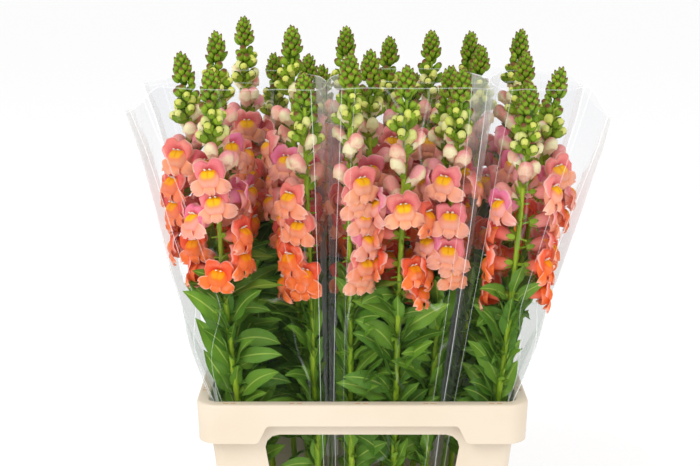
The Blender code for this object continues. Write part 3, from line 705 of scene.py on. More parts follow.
def lobe(draw, base, heading, length, half):
    """A round lobe of the lower lip, hanging from its base at heading degrees from straight down, its
    middle pushed forwards, its end curled back and its edge waved."""
    v = np.linspace(0, 1, 8)[:, None]
    u = np.linspace(1, -1, 9)
    width = half * np.sqrt(1 - (np.clip(v - 0.45, 0, 1) / 0.57) ** 2)
    width = width * (0.78 + 0.22 * np.clip(v / 0.45, 0, 1))
    a, curl = draw.uniform(0, 6.28), draw.uniform(0.5, 7.0)
    down, side = length * (v + 0.07 * np.sin(6 * u + a) * v**3), width * u
    x = base[0] + 3.0 * np.sin(np.pi * v**0.9) - curl * v**2 - 1.6 * u**2 * (0.4 + v)
    x = x + 1.5 * np.sin(4.2 * u + a) * v**2
    h = math.radians(heading)
    y = base[1] + down * math.sin(h) + side * math.cos(h)
    z = base[2] - down * math.cos(h) + side * math.sin(h)
    return patch(np.stack((x, y, z), -1), PETAL, 0.05 + 0 * x, 0.30 * smooth(0.45, 0.0, v) + 0 * u)


def blade(length, width, pitch, droop, twist=0.0, phase=0.0, rows=13, columns=5, petiole=0.10):
    """A lance-shaped leaf whose rib starts at pitch and bends down by droop degrees, folded a little
    along the rib, waved along its edges and turned over by twist degrees. The half width at a share s
    past the petiole is half the width times sin(pi s^0.8)^0.9. Length and width are in millimetres."""
    v = np.linspace(0, 1, rows)
    rib = bent_line(length, pitch, droop, rows)
    heading = np.radians(pitch - droop * v)[:, None]
    s = np.clip((v - petiole) / (1 - petiole), 0, 1)
    half = np.maximum(width / 2 * np.sin(np.pi * s**0.8) ** 0.9, np.where(v < 0.5, 0.9, 0.0))[:, None]
    u = np.linspace(1, -1, columns)
    turn = np.radians(twist) * smooth(0.05, 0.40, v)[:, None]
    high = 0.16 * half * np.abs(u) ** 1.4 + 0.07 * width * np.sin(14 * v[:, None] + phase) * u**2
    side = half * u * np.cos(turn) - high * np.sin(turn)
    high = high * np.cos(turn) + half * u * np.sin(turn)
    x = rib[:, :1] - np.sin(heading) * high
    z = rib[:, 1:] + np.cos(heading) * high
    return np.stack((x, side, z), -1)


def bloom_skin(draw):
    """An open two-lipped bloom with its tube, calyx, bract and the pale hairs at its throat."""
    rings = np.array(
        [
            # x, z of the middle, half width, half height
            (3.2, -0.4, 2.4, 2.4),
            (6.0, -0.7, 4.4, 4.6),
            (11.0, -1.0, 5.9, 6.4),
            (17.0, -0.7, 6.8, 7.1),
            (23.0, -0.2, 7.8, 8.0),
            (27.0, 0.0, 8.5, 8.6),
        ]
    )
    skins = [
        tube(rings[:, :2], rings[:, 2], rings[:, 3], PETAL, 12, 0.62),
        upper_lip(draw),
        palate(),
        lobe(draw, (31.6, 0.0, -10.0), draw.uniform(-6, 6), 11.0, 6.2),
        lobe(draw, (28.6, 6.0, -7.6), 56 + draw.uniform(-10, 10), 16.5, 8.4),
        lobe(draw, (28.6, -6.0, -7.6), -56 + draw.uniform(-10, 10), 16.5, 8.4),
        sepals(2.8, 9.0, 3.0, 7.2, 3.0),
        patch(blade(17, 7.0, -20, 40, rows=6, columns=3) + (2.5, 0, -3.5), LEAF, 0.6),
        straight_tube((-10, -3, 3.2), (1.1, 1.2, 1.8), 1, 5, 0.3),
    ]
    for side in (-2.8, 2.4):
        spine = np.array([(28.5, 6.0), (32.2, 7.4), (34.0, 6.8)])
        hair = tube(spine, (1.5, 1.3, 0), (0.8, 0.7, 0), PETAL, 4, -1.0)
        hair.points[:, 1] += side
        skins.append(hair)
    return joined(skins)


def bud_skin(draw):
    """A closed bud: a long pale throat out of its calyx, under a close hood of folded lobes with a
    frilled rim, whose top and back blush first."""
    s = np.linspace(0, 1, 9)
    bend, length = draw.uniform(34, 50), draw.uniform(25, 28)
    spine = bent_line(length, 10, bend, 9) + (2.0, 0)
    half = np.interp(s, (0, 0.12, 0.35, 0.60, 0.82, 0.94, 1), (2.6, 4.2, 5.4, 6.0, 5.8, 4.4, 0))
    throat = tube(spine, half, half * 0.95, BUD, 11, 0.0, 0.10)
    b = np.radians(np.linspace(0, 118, 9))
    pole = math.radians(draw.uniform(8, 24))
    reach = np.array((math.cos(pole), math.sin(pole)))
    centre = spine[6] + (-0.6, 1.2)
    back = centre + reach * (8.6 * np.cos(b))[:, None]
    girth = 6.9 * np.sin(b) ** 0.9 * (1 + 0.16 * smooth(80, 118, np.degrees(b)))
    cap = tube(back, girth, girth, BUD, 14, 1.0)
    away = cap.points - np.array((centre[0], 0.0, centre[1]))
    a = draw.uniform(0, 6.28)
    round_it = np.arctan2(away[:, 1], away[:, 2])
    rim = smooth(0.70, 1.0, cap.uv[:, 1])
    aim = away / np.linalg.norm(away, axis=1)[:, None]
    cap.shades[:, 1] = smooth(-0.50, 0.85, aim @ (0.10, 0.0, 0.98))
    cap.points[:, 1] *= 1 - 0.16 * np.exp(-((round_it / 0.45) ** 2)) + 0.05 * np.sin(3 * round_it + a)
    pull = rim * (1.5 * np.sin(5 * round_it + a) - 2.6 * np.cos(round_it))
    cap.points[:, 0] += pull * reach[0]
    cap.points[:, 2] += pull * reach[1]
    return joined([throat, cap, sepals(2.0, 10.5, 3.0, 6.4, 3.3)])


def straight_tube(x, half, flat, columns, tone, brown=None):
    """A calyx along the x axis with these half widths, its height flat times its width. It turns brown
    between two places along x."""
    x, half = np.array(x, float), np.array(half, float)
    spot = smooth(*brown, x)[:, None] if brown else 0.0
    return tube(np.stack((x, 0 * x), -1), half, half * flat, CALYX, columns, tone, spot)


def bead_skin():
    """A small bud on a short stem: a long green calyx with a pale ball that peeps out of it."""
    half = (1.0, 1.3, 3.4, 5.0, 5.3, 4.6)
    cup = straight_tube((-9, 0, 2.5, 6.5, 10.5, 12), half, 1, 9, 0.4)
    b = np.linspace(0.4, np.pi, 6)
    spine = np.stack((12.4 - 4.6 * np.cos(b), -0.9 + 0 * b), -1)
    ball = tube(spine, 4.5 * np.sin(b), 4.5 * np.sin(b), BUD, 9, 0.5, 0.0)
    return joined([cup, ball, sepals(6.4, 8.4, 5.2, 5.2, 3.4, turn=54)])


def cup_skin():
    """A closed bud in its calyx on a short stem, 12 long, with brown tips round its end."""
    x = (-6, 0, 2, 5, 8.4, 10.8, 12)
    return straight_tube(x, (0.9, 1.2, 3.2, 4.4, 4.0, 2.6, 0), 0.92, 8, 0.5, (8.2, 10.6))


def scale_skin():
    """A pointed closed bud of the spike, 10 long, with a brown tip."""
    x = (0, 1.4, 4, 6.4, 8.6, 10)
    return straight_tube(x, (0.9, 2.3, 3.1, 2.7, 1.5, 0), 0.85, 7, 0.5, (6.3, 8.6))


# Dressed stems


def frame_rows(frame, roll=0.0):
    """An organ frame's origin, and its three directions as rows, rolled about the first by degrees."""
    origin, out, side, up = (np.array(part) for part in frame)
    c, s = math.cos(math.radians(roll)), math.sin(math.radians(roll))
    return origin, np.stack((out, side * c + up * s, up * c - side * s))


def add_organ(heap, skin, stem, z, facing, pitch, size, roll=0.0, shift=0.0, chance=0.5, age=0.5):
    """Places a skin at height z on the stem, moved out by shift along its own axis."""
    origin, turn = frame_rows(organ_frame(stem, z, facing, pitch), roll)
    heap.add(skin, turn, origin + turn[0] * shift, size / 1000, chance, age)


def nearest_wall(stem, z):
    """The level direction to the nearest wall of the stem's sleeve. Its front and back count as if they
    were half as far."""
    x, y, _ = stem_axis(stem, z)
    centre_x, centre_y, half_x, half_y, _ = sleeve_section(stem["sleeve"], z)
    room = {
        (1, 0): centre_x + half_x - x,
        (-1, 0): x - centre_x + half_x,
        (0, 1): (centre_y + half_y - y) / 2,
        (0, -1): (y - centre_y + half_y) / 2,
    }
    return min(room, key=room.get)


def add_leaf(heap, stem, z, facing, length, width, pitch, droop, draw, roll=25, tone=0.0, **shape):
    """Length and width are in metres. The blade is turned by up to roll degrees, to lie flatter along
    the film where it points along it."""
    wall, a = nearest_wall(stem, z), math.radians(facing)
    across = wall[1] * math.cos(a) - wall[0] * math.sin(a)
    twist = -roll * across + draw.uniform(-18, 18)
    points = blade(length * 1000, width * 1000, pitch, droop, twist, draw.uniform(0, 6.28), **shape)
    origin, turn = frame_rows(organ_frame(stem, z, facing, 0))
    heap.add(patch(points, LEAF, tone), turn, origin, 1 / 1000, draw.random(), draw.random())


def more_buds(stem, number, draw):
    """Extra pale buds between the planned ones."""
    share = (number + 0.5) / MORE_BUDS
    z = stem["tip"][2] - 0.068 - share * (stem["drop"] - 0.062)
    facing = stem["facing"] - 50 + number * GOLDEN + draw.uniform(-12, 12)
    for size in (1, 0.85, 0.7):
        for turn in turned(18):
            organ = {"kind": "pale", "tier": 3 * share, "z": z, "facing": facing + turn}
            yield {**organ, "pitch": 26 - 14 * share, "size": (0.62 + 0.50 * share) * size}


def more_blooms(stem, number, draw):
    """Extra blooms where the planned ones leave room: fewer on the stems in front, the first and last of
    them towards the front, and those of outer stems towards the left, the right or the back."""
    x, y, _ = stem["tip"]
    if y < 0 and number >= FRONT_BLOOMS:
        return
    tier = MORE_BLOOM_TIERS[number]
    z = stem["tip"][2] - stem["drop"] - tier * BLOOM_PITCH
    facing = stem["facing"] + 180 + number * GOLDEN
    if math.hypot(x / 0.20, max(y, 0) / 0.14) > 0.9:
        facing = math.degrees(math.atan2(max(y, 0) * 1.4, x)) + OUTWARD_TURNS[number]
    if y < 0 and number in (0, FRONT_BLOOMS - 1):
        facing = -90 + 20 * math.copysign(number > 0, x)
    for size in (0.95, 0.84, 0.74, 0.64):
        for turn in turned(15):
            for lift in (0, 0.008, -0.008):
                organ = {"kind": "bloom", "tier": tier, "z": z + lift, "facing": facing + turn}
                yield {**organ, "pitch": draw.uniform(-4, 16), "size": size}


def more_leaves(stem, number, draw):
    """Extra leaves all down the stem, steeper or shorter where it is crowded, small among the blooms."""
    z = leaf_level(stem, number)
    facing = stem["facing"] + 20 + number * GOLDEN
    length = draw.uniform(0.048, 0.084) * (SHORTENED if number < SHORT_LEAVES else 1)
    pitch, droop = draw.uniform(20, 76), draw.uniform(0, 66)
    for share in (1, 0.82, 0.66):
        for turn in (0, 25, -25, 50, -50, 80, -80):
            for steeper in (0, 18, 36):
                organ = {"kind": "extra leaf", "tier": number, "z": z, "facing": facing + turn}
                organ.update(length=length * share, pitch=min(pitch + steeper, 86), droop=droop)
                yield organ


def leaf_level(stem, number):
    """The height of an extra leaf: the first bloom's, less the leafless tiers, less a pitch a leaf."""
    leafless = LEAFLESS_BACK if stem["tip"][1] > 0 else LEAFLESS_FRONT
    return stem["tip"][2] - stem["drop"] - BLOOM_PITCH * leafless - number * MORE_LEAF_PITCH


class LooseCrowd(Crowd):
    """A crowd in which organs may press into each other a little, and leaves almost touch."""

    def slim(self, probes):
        """The balls, each smaller by what organs may press into each other."""
        slim = probes.copy()
        slim[:, 3] = np.maximum(slim[:, 3] - PRESS, 0.0004)
        return slim

    def has_room(self, stem, probes):
        return super().has_room(stem, self.slim(probes))

    def add(self, stem, probes):
        super().add(stem, self.slim(probes))


def plan_more(stems):
    """Adds the extra organs to each stem's list, with the planned ones as the crowd."""
    crowd = LooseCrowd(stems)
    for stem in stems:
        for organ in stem["organs"]:
            crowd.add(stem, organ_probes(stem, organ))
    draw = random.Random(SEED + 2)
    plan = ((len(MORE_BLOOM_TIERS), more_blooms), (MORE_BUDS, more_buds), (MORE_LEAVES, more_leaves))
    for count, choices in plan:
        for number in range(count):
            for stem in stems:
                if choices is not more_leaves or leaf_level(stem, number) > SLEEVE_BOTTOM + 0.008:
                    settle(crowd, stem, choices(stem, number, draw))


def rings_round(stem, levels, radii, sides):
    """Level rings of points round the stem's axis."""
    centres = np.array([stem_axis(stem, z) for z in levels])
    turns = np.linspace(0, 2 * np.pi, sides, endpoint=False)
    rings = np.stack((np.cos(turns), np.sin(turns), 0 * turns), -1)
    return centres[:, None, :] + rings[None] * radii[:, None, None]


def stalk_skin(stem, draw):
    """A round stalk from its foot into the spike, closed at both ends, its radius the solid's, swollen a
    little every 13 mm where leaves grow."""
    top = stem["tip"][2] - 0.004
    upper = np.linspace(top - 0.055, top, 8)
    levels = np.concatenate(([FOOT_Z] * 2, np.arange(0.02, top - 0.06, 0.0055), upper, [top]))
    radii = np.array([stalk_radius(stem, z) for z in levels])
    radii *= 1.0 + 0.10 * np.sin(levels * 2 * np.pi / 0.013 + draw.uniform(0, 6))
    radii[-8:-1] *= np.linspace(0.95, 0.25, 7)
    radii[[0, -1]] = 0
    return patch(rings_round(stem, levels, radii, 12), STALK, wrap=True)


def core_skin(stem):
    """The inside of the spike, which shows between its scales, painted darker green as the shade there.
    """
    levels = stem["tip"][2] - np.array((0.044, 0.038, 0.030, 0.020, 0.010, 0.003))
    radii = np.array((0, 0.0045, 0.0062, 0.0064, 0.0046, 0))
    return patch(rings_round(stem, levels, radii, 8), CALYX, -1.0, wrap=True)


def freest(taken, z, start):
    """The facing, of 12 round the stalk, furthest from the organs taken, given as facing and height."""
    facings = start + 30.0 * np.arange(12)
    others = np.array(taken)
    apart = 0.030 * np.sin(np.radians(facings[:, None] - others[None, :, 0]) / 2)
    return facings[np.hypot(apart, z - others[None, :, 1]).min(axis=1).argmax()]


def dress_spike(heap, stem, skins, draw):
    """The spike: scales on its blunt top, then closed cups, then beads that open out going down. Their
    ends lie on a spindle that widens going down."""
    tip, start = stem["tip"][2], draw.uniform(0, 360)
    heap.add(core_skin(stem))
    taken = [(organ["facing"], organ["z"] + 0.004) for organ in stem["organs"] if organ["kind"] == "pale"]
    for kind, count, first, last, length in SPIKE:
        for i in range(count):
            share = i / (count - 1)
            drop = first + (last - first) * share
            far = np.interp(drop * 1000, SPINDLE_DROPS, SPINDLE_RADII) / 1000
            facing, age = start + i * GOLDEN, 0.3
            if kind == "scale":
                pitch, size = 76 - 27 * share**0.6, 0.84 + 0.44 * share
            elif kind == "cup":
                pitch, size = 54 - 8 * share, 0.98 + 0.14 * share
            else:
                pitch, size = 48 - 8 * share, 0.92 + 0.26 * share
                age = 0.16 * share + draw.uniform(-0.04, 0.06)
            pitch, size = pitch + draw.uniform(-5, 5), size * draw.uniform(0.94, 1.06)
            slope = math.radians(pitch)
            reach = size * length / 1000
            shift = max(far / math.cos(slope) - reach, 0)
            z = tip - drop - (reach + shift) * math.sin(slope)
            if kind != "scale":
                facing = freest(taken, z, facing)
                taken.append((facing, z))
                shift = min(shift, 0.008 * size)
            chance = draw.random()
            add_organ(heap, skins[kind], stem, z, facing, pitch, size, 0, shift, chance, max(age, 0))


def stand_off(stem, facing):
    """How far a bloom stands off its stalk, in metres: most where it faces the outer left or right."""
    x = stem["tip"][0]
    outer = min(max(abs(x) - 0.10, 0) / 0.07, 1)
    return STAND_OFF * outer * max(math.copysign(1, x) * math.cos(math.radians(facing)), 0)


def dress_stem(stem, skins, materials):
    """One object of the stalk, the spike and every organ planned for the stem."""
    draw = random.Random(SEED * 100 + stem["index"])
    heap = Heap()
    heap.add(stalk_skin(stem, draw), chance=draw.random())
    dress_spike(heap, stem, skins, draw)
    for organ in stem["organs"]:
        z, facing, chance = organ["z"], organ["facing"], draw.random()
        if organ["kind"] == "bloom":
            spread = draw.uniform(-WARMTH_SPREAD, WARMTH_SPREAD)
            age = min(max(stem["warmth"] + WARMER * organ["tier"] - 0.06 + spread, 0), 1)
            skin, roll = draw.choice(skins["blooms"]), draw.uniform(-12, 12)
            size, shift = BLOOM_DRAWN[0] + BLOOM_DRAWN[1] * organ["size"], stand_off(stem, facing)
            add_organ(heap, skin, stem, z, facing, organ["pitch"], size, roll, shift, chance, age)
        elif organ["kind"] == "pale":
            age = min(max(organ["tier"] / 3 * 0.85 + 0.1 + draw.uniform(-0.12, 0.15), 0), 1)
            skin, roll = draw.choice(skins["buds"]), draw.uniform(-18, 18)
            size = organ["size"] * BUD_DRAWN
            pitch = organ["pitch"] + BUD_STEEPER + draw.uniform(-8, 8)
            add_organ(heap, skin, stem, z - 0.006 * size, facing, pitch, size, roll, 0, chance, age)
        else:
            width = LEAF_WIDTH * (organ["length"] / LEAF_LENGTH[1]) ** 0.8 * draw.uniform(*LEAF_DRAWN)
            shape = (organ["length"], width, organ["pitch"], organ["droop"])
            add_leaf(heap, stem, z, facing, *shape, draw, 72 if organ["kind"] == "extra leaf" else 35)
            for _ in range(TUFTS if draw.random() < TUFT_SHARE else 0):
                length = draw.uniform(0.012, 0.026)
                turn = facing + draw.uniform(-50, 50)
                steep = draw.uniform(30, 80)
                tuft = (length, length * 0.40, steep, draw.uniform(0, 50))
                add_leaf(heap, stem, z + 0.004, turn, *tuft, draw, tone=1.0, rows=5, columns=3)
    return heap.to_object(f"snapdragon_{stem['index'] + 1:02d}", materials)


# Crate


def loft_object(name, rings, looped, material=None):
    """An object skinned through rings of points of equal count."""
    points = np.array(rings, float)
    rows, columns = points.shape[:2]
    index = np.arange(rows * columns).reshape(rows, columns)
    index = np.hstack((index, index[:, :1]))
    if looped:
        index = np.vstack((index, index[:1]))
    faces = quads_of(index).tolist()
    if not looped:
        faces += [index[0, :-1][::-1].tolist(), index[-1, :-1].tolist()]
    mesh = bpy.data.meshes.new(name)
    mesh.from_pydata(points.reshape(-1, 3).tolist(), [], faces)
    work = bmesh.new()
    work.from_mesh(mesh)
    bmesh.ops.recalc_face_normals(work, faces=work.faces)
    work.to_mesh(mesh)
    work.free()
    if material:
        mesh.materials.append(material)
    return link(bpy.data.objects.new(name, mesh))


def prism(outline, low, high, along):
    """A closed prism of an outline of (a, b) pairs, run along x, y or z from low to high. The outline
    lies in (y, z), (x, z) or (x, y)."""
    order = {"x": (2, 0, 1), "y": (0, 2, 1), "z": (0, 1, 2)}[along]
    rings = [[[(a, b, depth)[k] for k in order] for a, b in outline] for depth in (low, high)]
    return loft_object("cutter", rings, False)


def carve(obj, cutters):
    """Cuts these objects out of obj for good, and removes them."""
    for cutter in cutters:
        modifier = obj.modifiers.new("cut", "BOOLEAN")
        modifier.operation = "DIFFERENCE"
        modifier.object = cutter
    graph = bpy.context.evaluated_depsgraph_get()
    carved = bpy.data.meshes.new_from_object(obj.evaluated_get(graph))
    obj.modifiers.clear()
    obj.data = carved
    for cutter in cutters:
        bpy.data.objects.remove(cutter)


def round_off(obj, width, angle=32):
    """Small round edges and smooth shading between them."""
    bevel = obj.modifiers.new("round edges", "BEVEL")
    bevel.width = width
    bevel.segments = 2
    bevel.limit_method = "ANGLE"
    bevel.angle_limit = math.radians(angle)
    bevel.use_clamp_overlap = True
    bevel.harden_normals = True
    obj.data.polygons.foreach_set("use_smooth", [True] * len(obj.data.polygons))
    obj.data.set_sharp_from_angle(angle=math.radians(angle))


def rounded(corners, radius, steps=5):
    """A polygon with each corner replaced by a curve that meets both its sides smoothly."""
    points = []
    count = len(corners)
    for i, corner in enumerate(corners):
        here = Vector(corner)
        before, after = Vector(corners[i - 1]) - here, Vector(corners[(i + 1) % count]) - here
        reach = radius / math.tan(before.angle(after) / 2)
        reach = min(reach, before.length * 0.45, after.length * 0.45)
        start, end = here + before.normalized() * reach, here + after.normalized() * reach
        for step in range(steps + 1):
            t = step / steps
            points.append(tuple(start.lerp(here, t).lerp(here.lerp(end, t), t)))
    return points


def crate_slots():
    """Middles of the paired slots in the flange's top, and whether each pair runs along y."""
    pairs = []
    middle = FLANGE_WIDTH * 0.50
    for x in (-0.159, -0.080, -0.001, 0.080, 0.159):
        for sign in (-1, 1):
            pairs.append((x, sign * (RIM_HALF_Y - middle), False))
    for y in (-0.092, 0.0, 0.092):
        for sign in (-1, 1):
            pairs.append((sign * (RIM_HALF_X - middle), y, True))
    return pairs


def make_collar(plastic, slot_floor):
    """The collar as one moulding with finer corners, rounded edges and its slots, and their floors:
    dark sheets painted as the shade in the slots.
    """
    bottom_inset = wall_inset(COLLAR_BOTTOM)
    profile = [
        (0.0017, RIM_HEIGHT - SKIRT_CORNER_DEPTH),
        (0.0010, RIM_HEIGHT - SKIRT_MIDDLE_DEPTH),
        (0.0002, RIM_HEIGHT - 0.0060),
        (0.0001, RIM_HEIGHT - 0.0032),
        (0.0007, RIM_HEIGHT - 0.0013),
        (0.0018, RIM_HEIGHT - 0.0003),
        (0.0032, RIM_HEIGHT),
        (FLANGE_WIDTH - 0.0022, RIM_HEIGHT),
        (FLANGE_WIDTH - 0.0009, RIM_HEIGHT - 0.0004),
        (FLANGE_WIDTH + 0.0002, RIM_HEIGHT - 0.0016),
        (wall_inset(WINDOW_TOP), WINDOW_TOP),
        (bottom_inset, COLLAR_BOTTOM),
        (bottom_inset - WALL, COLLAR_BOTTOM),
        (wall_inset(RIM_HEIGHT - WALL) - WALL, RIM_HEIGHT - WALL),
        (WALL, RIM_HEIGHT - WALL),
        (WALL + 0.0015, RIM_HEIGHT - SKIRT_CORNER_DEPTH),
    ]
    rings = [rounded_ring(inset, z, FINE_STEPS) for inset, z in profile]
    collar = loft_object("crate_collar", rings, True, plastic)
    reach, behind_skirt = 2 * RIM_HALF_X, FLANGE_WIDTH / 2
    skirt_edge, high = RIM_HEIGHT - SKIRT_CORNER_DEPTH, RIM_HEIGHT - SKIRT_MIDDLE_DEPTH
    low, under = skirt_edge - 0.0001, skirt_edge - WALL
    cutters = []
    sides = (("y", WINDOW_HALF_FRONT, RIM_HALF_Y), ("x", WINDOW_HALF_SIDE, RIM_HALF_X))
    for along, half_window, half_rim in sides:
        cutters.append(prism(window_outline(half_window), -reach, reach, along))
        half = half_window - 0.003
        step, past = half + SKIRT_STEP, half + SKIRT_STEP + 0.03
        outline = [(half, high), (-half, high), (-step, low), (-past, low)]
        outline += [(-past, under), (past, under), (past, low), (step, low)]
        for sign in (-1, 1):
            near, far = sorted((sign * (half_rim - behind_skirt), sign * reach))
            cutters.append(prism(rounded(outline, 0.007), near, far, along))
    floors = []
    for x, y, along_y in crate_slots():
        a, b = 0.0030, 0.0016 if along_y else 0.0015
        for shift in (-SLOT_APART / 2, SLOT_APART / 2):
            at_x, at_y = (x, y + shift) if along_y else (x + shift, y)
            corners = ((-a, -b), (a, -b), (a, b), (-a, b))
            box = [(at_x + right, at_y + back) for right, back in corners]
            cutters.append(prism(box, RIM_HEIGHT - 0.0005, RIM_HEIGHT + 0.01, "z"))
            # a dark sheet just under the slot's cut, painted as its shade
            floors.append([(px, py, RIM_HEIGHT - 0.0004) for px, py in box])
    carve(collar, cutters)
    round_off(collar, 0.0007)
    mesh = bpy.data.meshes.new("crate_slot_floors")
    faces = np.arange(4 * len(floors)).reshape(-1, 4)
    mesh.from_pydata(np.array(floors).reshape(-1, 3).tolist(), [], faces.tolist())
    mesh.materials.append(slot_floor)
    return collar, link(bpy.data.objects.new("crate_slot_floors", mesh))


def make_bucket(plastic):
    """The bucket with finer corners."""
    socket = WALL + GAP
    profile = [
        (wall_inset(0.004) - WALL + 0.0030, 0),
        (wall_inset(0.001) - WALL + 0.0009, 0.0010),
        (wall_inset(0.004) - WALL, 0.004),
        (wall_inset(COLLAR_BOTTOM - 2 * SOCKET_STEP) - WALL, COLLAR_BOTTOM - 2 * SOCKET_STEP),
        (wall_inset(COLLAR_BOTTOM - SOCKET_STEP) - WALL - socket, COLLAR_BOTTOM - SOCKET_STEP),
        (wall_inset(BUCKET_TOP) - WALL - socket, BUCKET_TOP - 0.0006),
        (wall_inset(BUCKET_TOP) - WALL - socket + 0.0006, BUCKET_TOP),
        (wall_inset(BUCKET_TOP) - socket - 0.0006, BUCKET_TOP),
        (wall_inset(BUCKET_TOP) - socket, BUCKET_TOP - 0.0006),
        (wall_inset(COLLAR_BOTTOM - GAP) - socket, COLLAR_BOTTOM - GAP),
        (wall_inset(COLLAR_BOTTOM - GAP), COLLAR_BOTTOM - GAP),
        (wall_inset(0.006), 0.006),
        (wall_inset(WALL) + 0.003, WALL),
    ]
    rings = [rounded_ring(inset, z, FINE_STEPS) for inset, z in profile]
    bucket = loft_object("crate_bucket", rings, False, plastic)
    round_off(bucket, 0.0005)
    return bucket


# Film

FILM_COLUMNS = 144
FILM_ROWS = (10, 34)  # below and above the collar's rim
BELLY = {
    # side: how far the seam's side bellies out at these shares of the way up
    -1: (0, 0.011, 0.012, 0.005, 0, 0),
    0: (0, 0, 0, 0, 0, 0),
    1: (0, 0.012, 0.018, 0.0175, 0.014, 0.006),
}
BELLY_LEVELS = (0, 0.20, 0.40, 0.65, 0.87, 1)
SEAMS = {
    # sleeve: which side has the seam, how far its upper edge rises in the middle, dips at the seam and
    # flares there
    "sleeve_front_left": (-1, 0.022, 0.015, 0.002),
    "sleeve_front_middle": (0, 0.024, 0.0, 0.0),
    "sleeve_front_right": (1, 0.022, 0.024, 0.010),
    "sleeve_back_left": (-1, 0.006, 0.007, 0.018),
    "sleeve_back_right": (1, 0.006, 0.007, 0.016),
}
PLEATS = {
    # sleeve: folds, each from a place round the collar to one round the upper edge, 0 at the sleeve's
    # right side, 0.25 at its back, 0.5 at its left and 0.75 in front, with its width in millimetres
    "sleeve_front_left": (
        (0.690, 0.597, 1.8), (0.620, 0.560, 1.0), (0.550, 0.530, 1.4),
        (0.500, 0.500, 3.0), (0.860, 0.900, 1.2), (0.420, 0.460, 1.2),
    ),
    "sleeve_front_middle": (
        (0.632, 0.622, 2.2), (0.884, 0.893, 1.8), (0.700, 0.665, 1.4),
        (0.800, 0.838, 1.2), (0.360, 0.360, 2.0), (0.130, 0.140, 2.0),
    ),
    "sleeve_front_right": (
        (0.800, 0.875, 1.8), (0.880, 0.930, 1.0), (0.950, 0.968, 1.4),
        (0.000, 0.000, 3.0), (0.660, 0.630, 1.2), (0.080, 0.040, 1.2),
    ),
    "sleeve_back_left": (
        (0.500, 0.500, 3.0), (0.440, 0.425, 1.6), (0.300, 0.270, 1.4),
        (0.570, 0.585, 1.6), (0.190, 0.215, 1.4), (0.370, 0.375, 1.6),
    ),
    "sleeve_back_right": (
        (0.000, 0.000, 3.0), (0.070, 0.085, 1.6), (0.200, 0.235, 1.4),
        (0.930, 0.915, 1.6), (0.310, 0.285, 1.4), (0.140, 0.130, 1.6),
    ),
}


def film_points(name, t, z, out=0.0):
    """Points of a sleeve at shares t round it and heights z: its superellipse, pinched to a seam on its
    outer side, moved in or out by the film's long waves and by out. The waves are sums of sines that run
    up the film on a slant. The upper edge rises in the middle and dips at the seam."""
    number = list(SLEEVES).index(name)
    t, z = np.broadcast_arrays(np.asarray(t, float), np.asarray(z, float))
    sections = np.array([[*sleeve_section(name, height)] for height in z.ravel()]).reshape(*z.shape, 5)
    centre_x, centre_y, half_x, half_y, exponent = np.moveaxis(sections, -1, 0)
    c, s = np.cos(2 * np.pi * t), np.sin(2 * np.pi * t)
    rise = (z - SLEEVE_RIM) / (SLEEVE_TOP - SLEEVE_RIM)
    seam, lift, dip, flare = SEAMS[name]
    exponent = np.where(c * seam > 0, exponent + (1.5 - exponent) * smooth(0, 0.35, rise), exponent)
    x = np.sign(c) * np.abs(c) ** (2 / exponent)
    y = np.sign(s) * np.abs(s) ** (2 / exponent)
    side = smooth(0.55, 1.0, np.abs(x))
    lower = np.where(x * seam > 0, dip, -lift * 0.8)
    high = z + np.clip(rise, 0, 1) ** 3 * (lift * (1 - side) - lower * side)
    wave = np.sin(2 * np.pi * (7 * t + 0.55 * rise) + number)
    wave += 0.7 * np.sin(2 * np.pi * (13 * t - 0.8 * rise) + 2 * number)
    wave += 0.5 * np.sin(2 * np.pi * (4 * t + 2.2 * rise) + 3 * number)
    depth = 0.0009 * (0.25 + 0.75 * np.clip(rise, 0, 1)) * wave - 0.0004 + out
    out_x = flare * np.clip(rise, 0, 1) ** 3 + np.interp(rise, BELLY_LEVELS, BELLY[seam])
    centre_x = centre_x + out_x * np.clip(x, -1, 1) * smooth(0.5, 1.0, x * seam)
    x, y = centre_x + x * half_x + depth * c, centre_y + y * half_y + depth * s
    return np.stack((x, y, high), -1)


def make_film(name, film, fold):
    """A sleeve as one sheet, its rims' edges and its folds as narrow denser strips just off it, painted
    as glowing highlights.
    """
    heap = Heap()
    t = np.linspace(0, 1, FILM_COLUMNS, endpoint=False) + 0.5 / FILM_COLUMNS
    below = np.linspace(SLEEVE_BOTTOM, SLEEVE_RIM, FILM_ROWS[0])
    z = np.concatenate((below, np.linspace(SLEEVE_RIM, SLEEVE_TOP, FILM_ROWS[1])[1:]))
    heap.add(patch(film_points(name, t[None, :], z[:, None]), 0, wrap=True))
    for low, high, width in PLEATS[name]:
        rise = np.clip((z - SLEEVE_RIM) / (SLEEVE_TOP - SLEEVE_RIM), 0, 1)[:, None]
        middle = low + (high - low) * rise
        perimeter = 0.55 + 0.35 * rise
        side = np.array((-0.5, 0.0, 0.5)) * (width / 1000 / perimeter) * (0.6 + 0.4 * rise)
        strip = film_points(name, middle + side, z[:, None], 0.0004 + np.array((0, 0.0008, 0)))
        # painted highlight: a denser, glowing strip along the film's folds
        heap.add(patch(strip, 1), chance=(low * 7.3) % 1)
    edge = np.array((SLEEVE_TOP - 0.0010, SLEEVE_TOP))[:, None]
    heap.add(patch(film_points(name, t[None, :], edge, 0.0003), 1, wrap=True), chance=0.3)
    if SEAMS[name][0]:
        at = np.full((1, 3), 0.25 - 0.25 * SEAMS[name][0])
        fin = film_points(name, at, z[:, None], np.array((-0.0004, 0.0010, 0.0024)))
        heap.add(patch(fin, 1), chance=0.6)
    return heap.to_object(f"film_{name}", [film, fold])


# Materials

FULL_TURN = 6.2832
OBJECT_PLACE, MIXED_COLOUR = 3, 2  # outputs of the coordinate node and of the mixing node


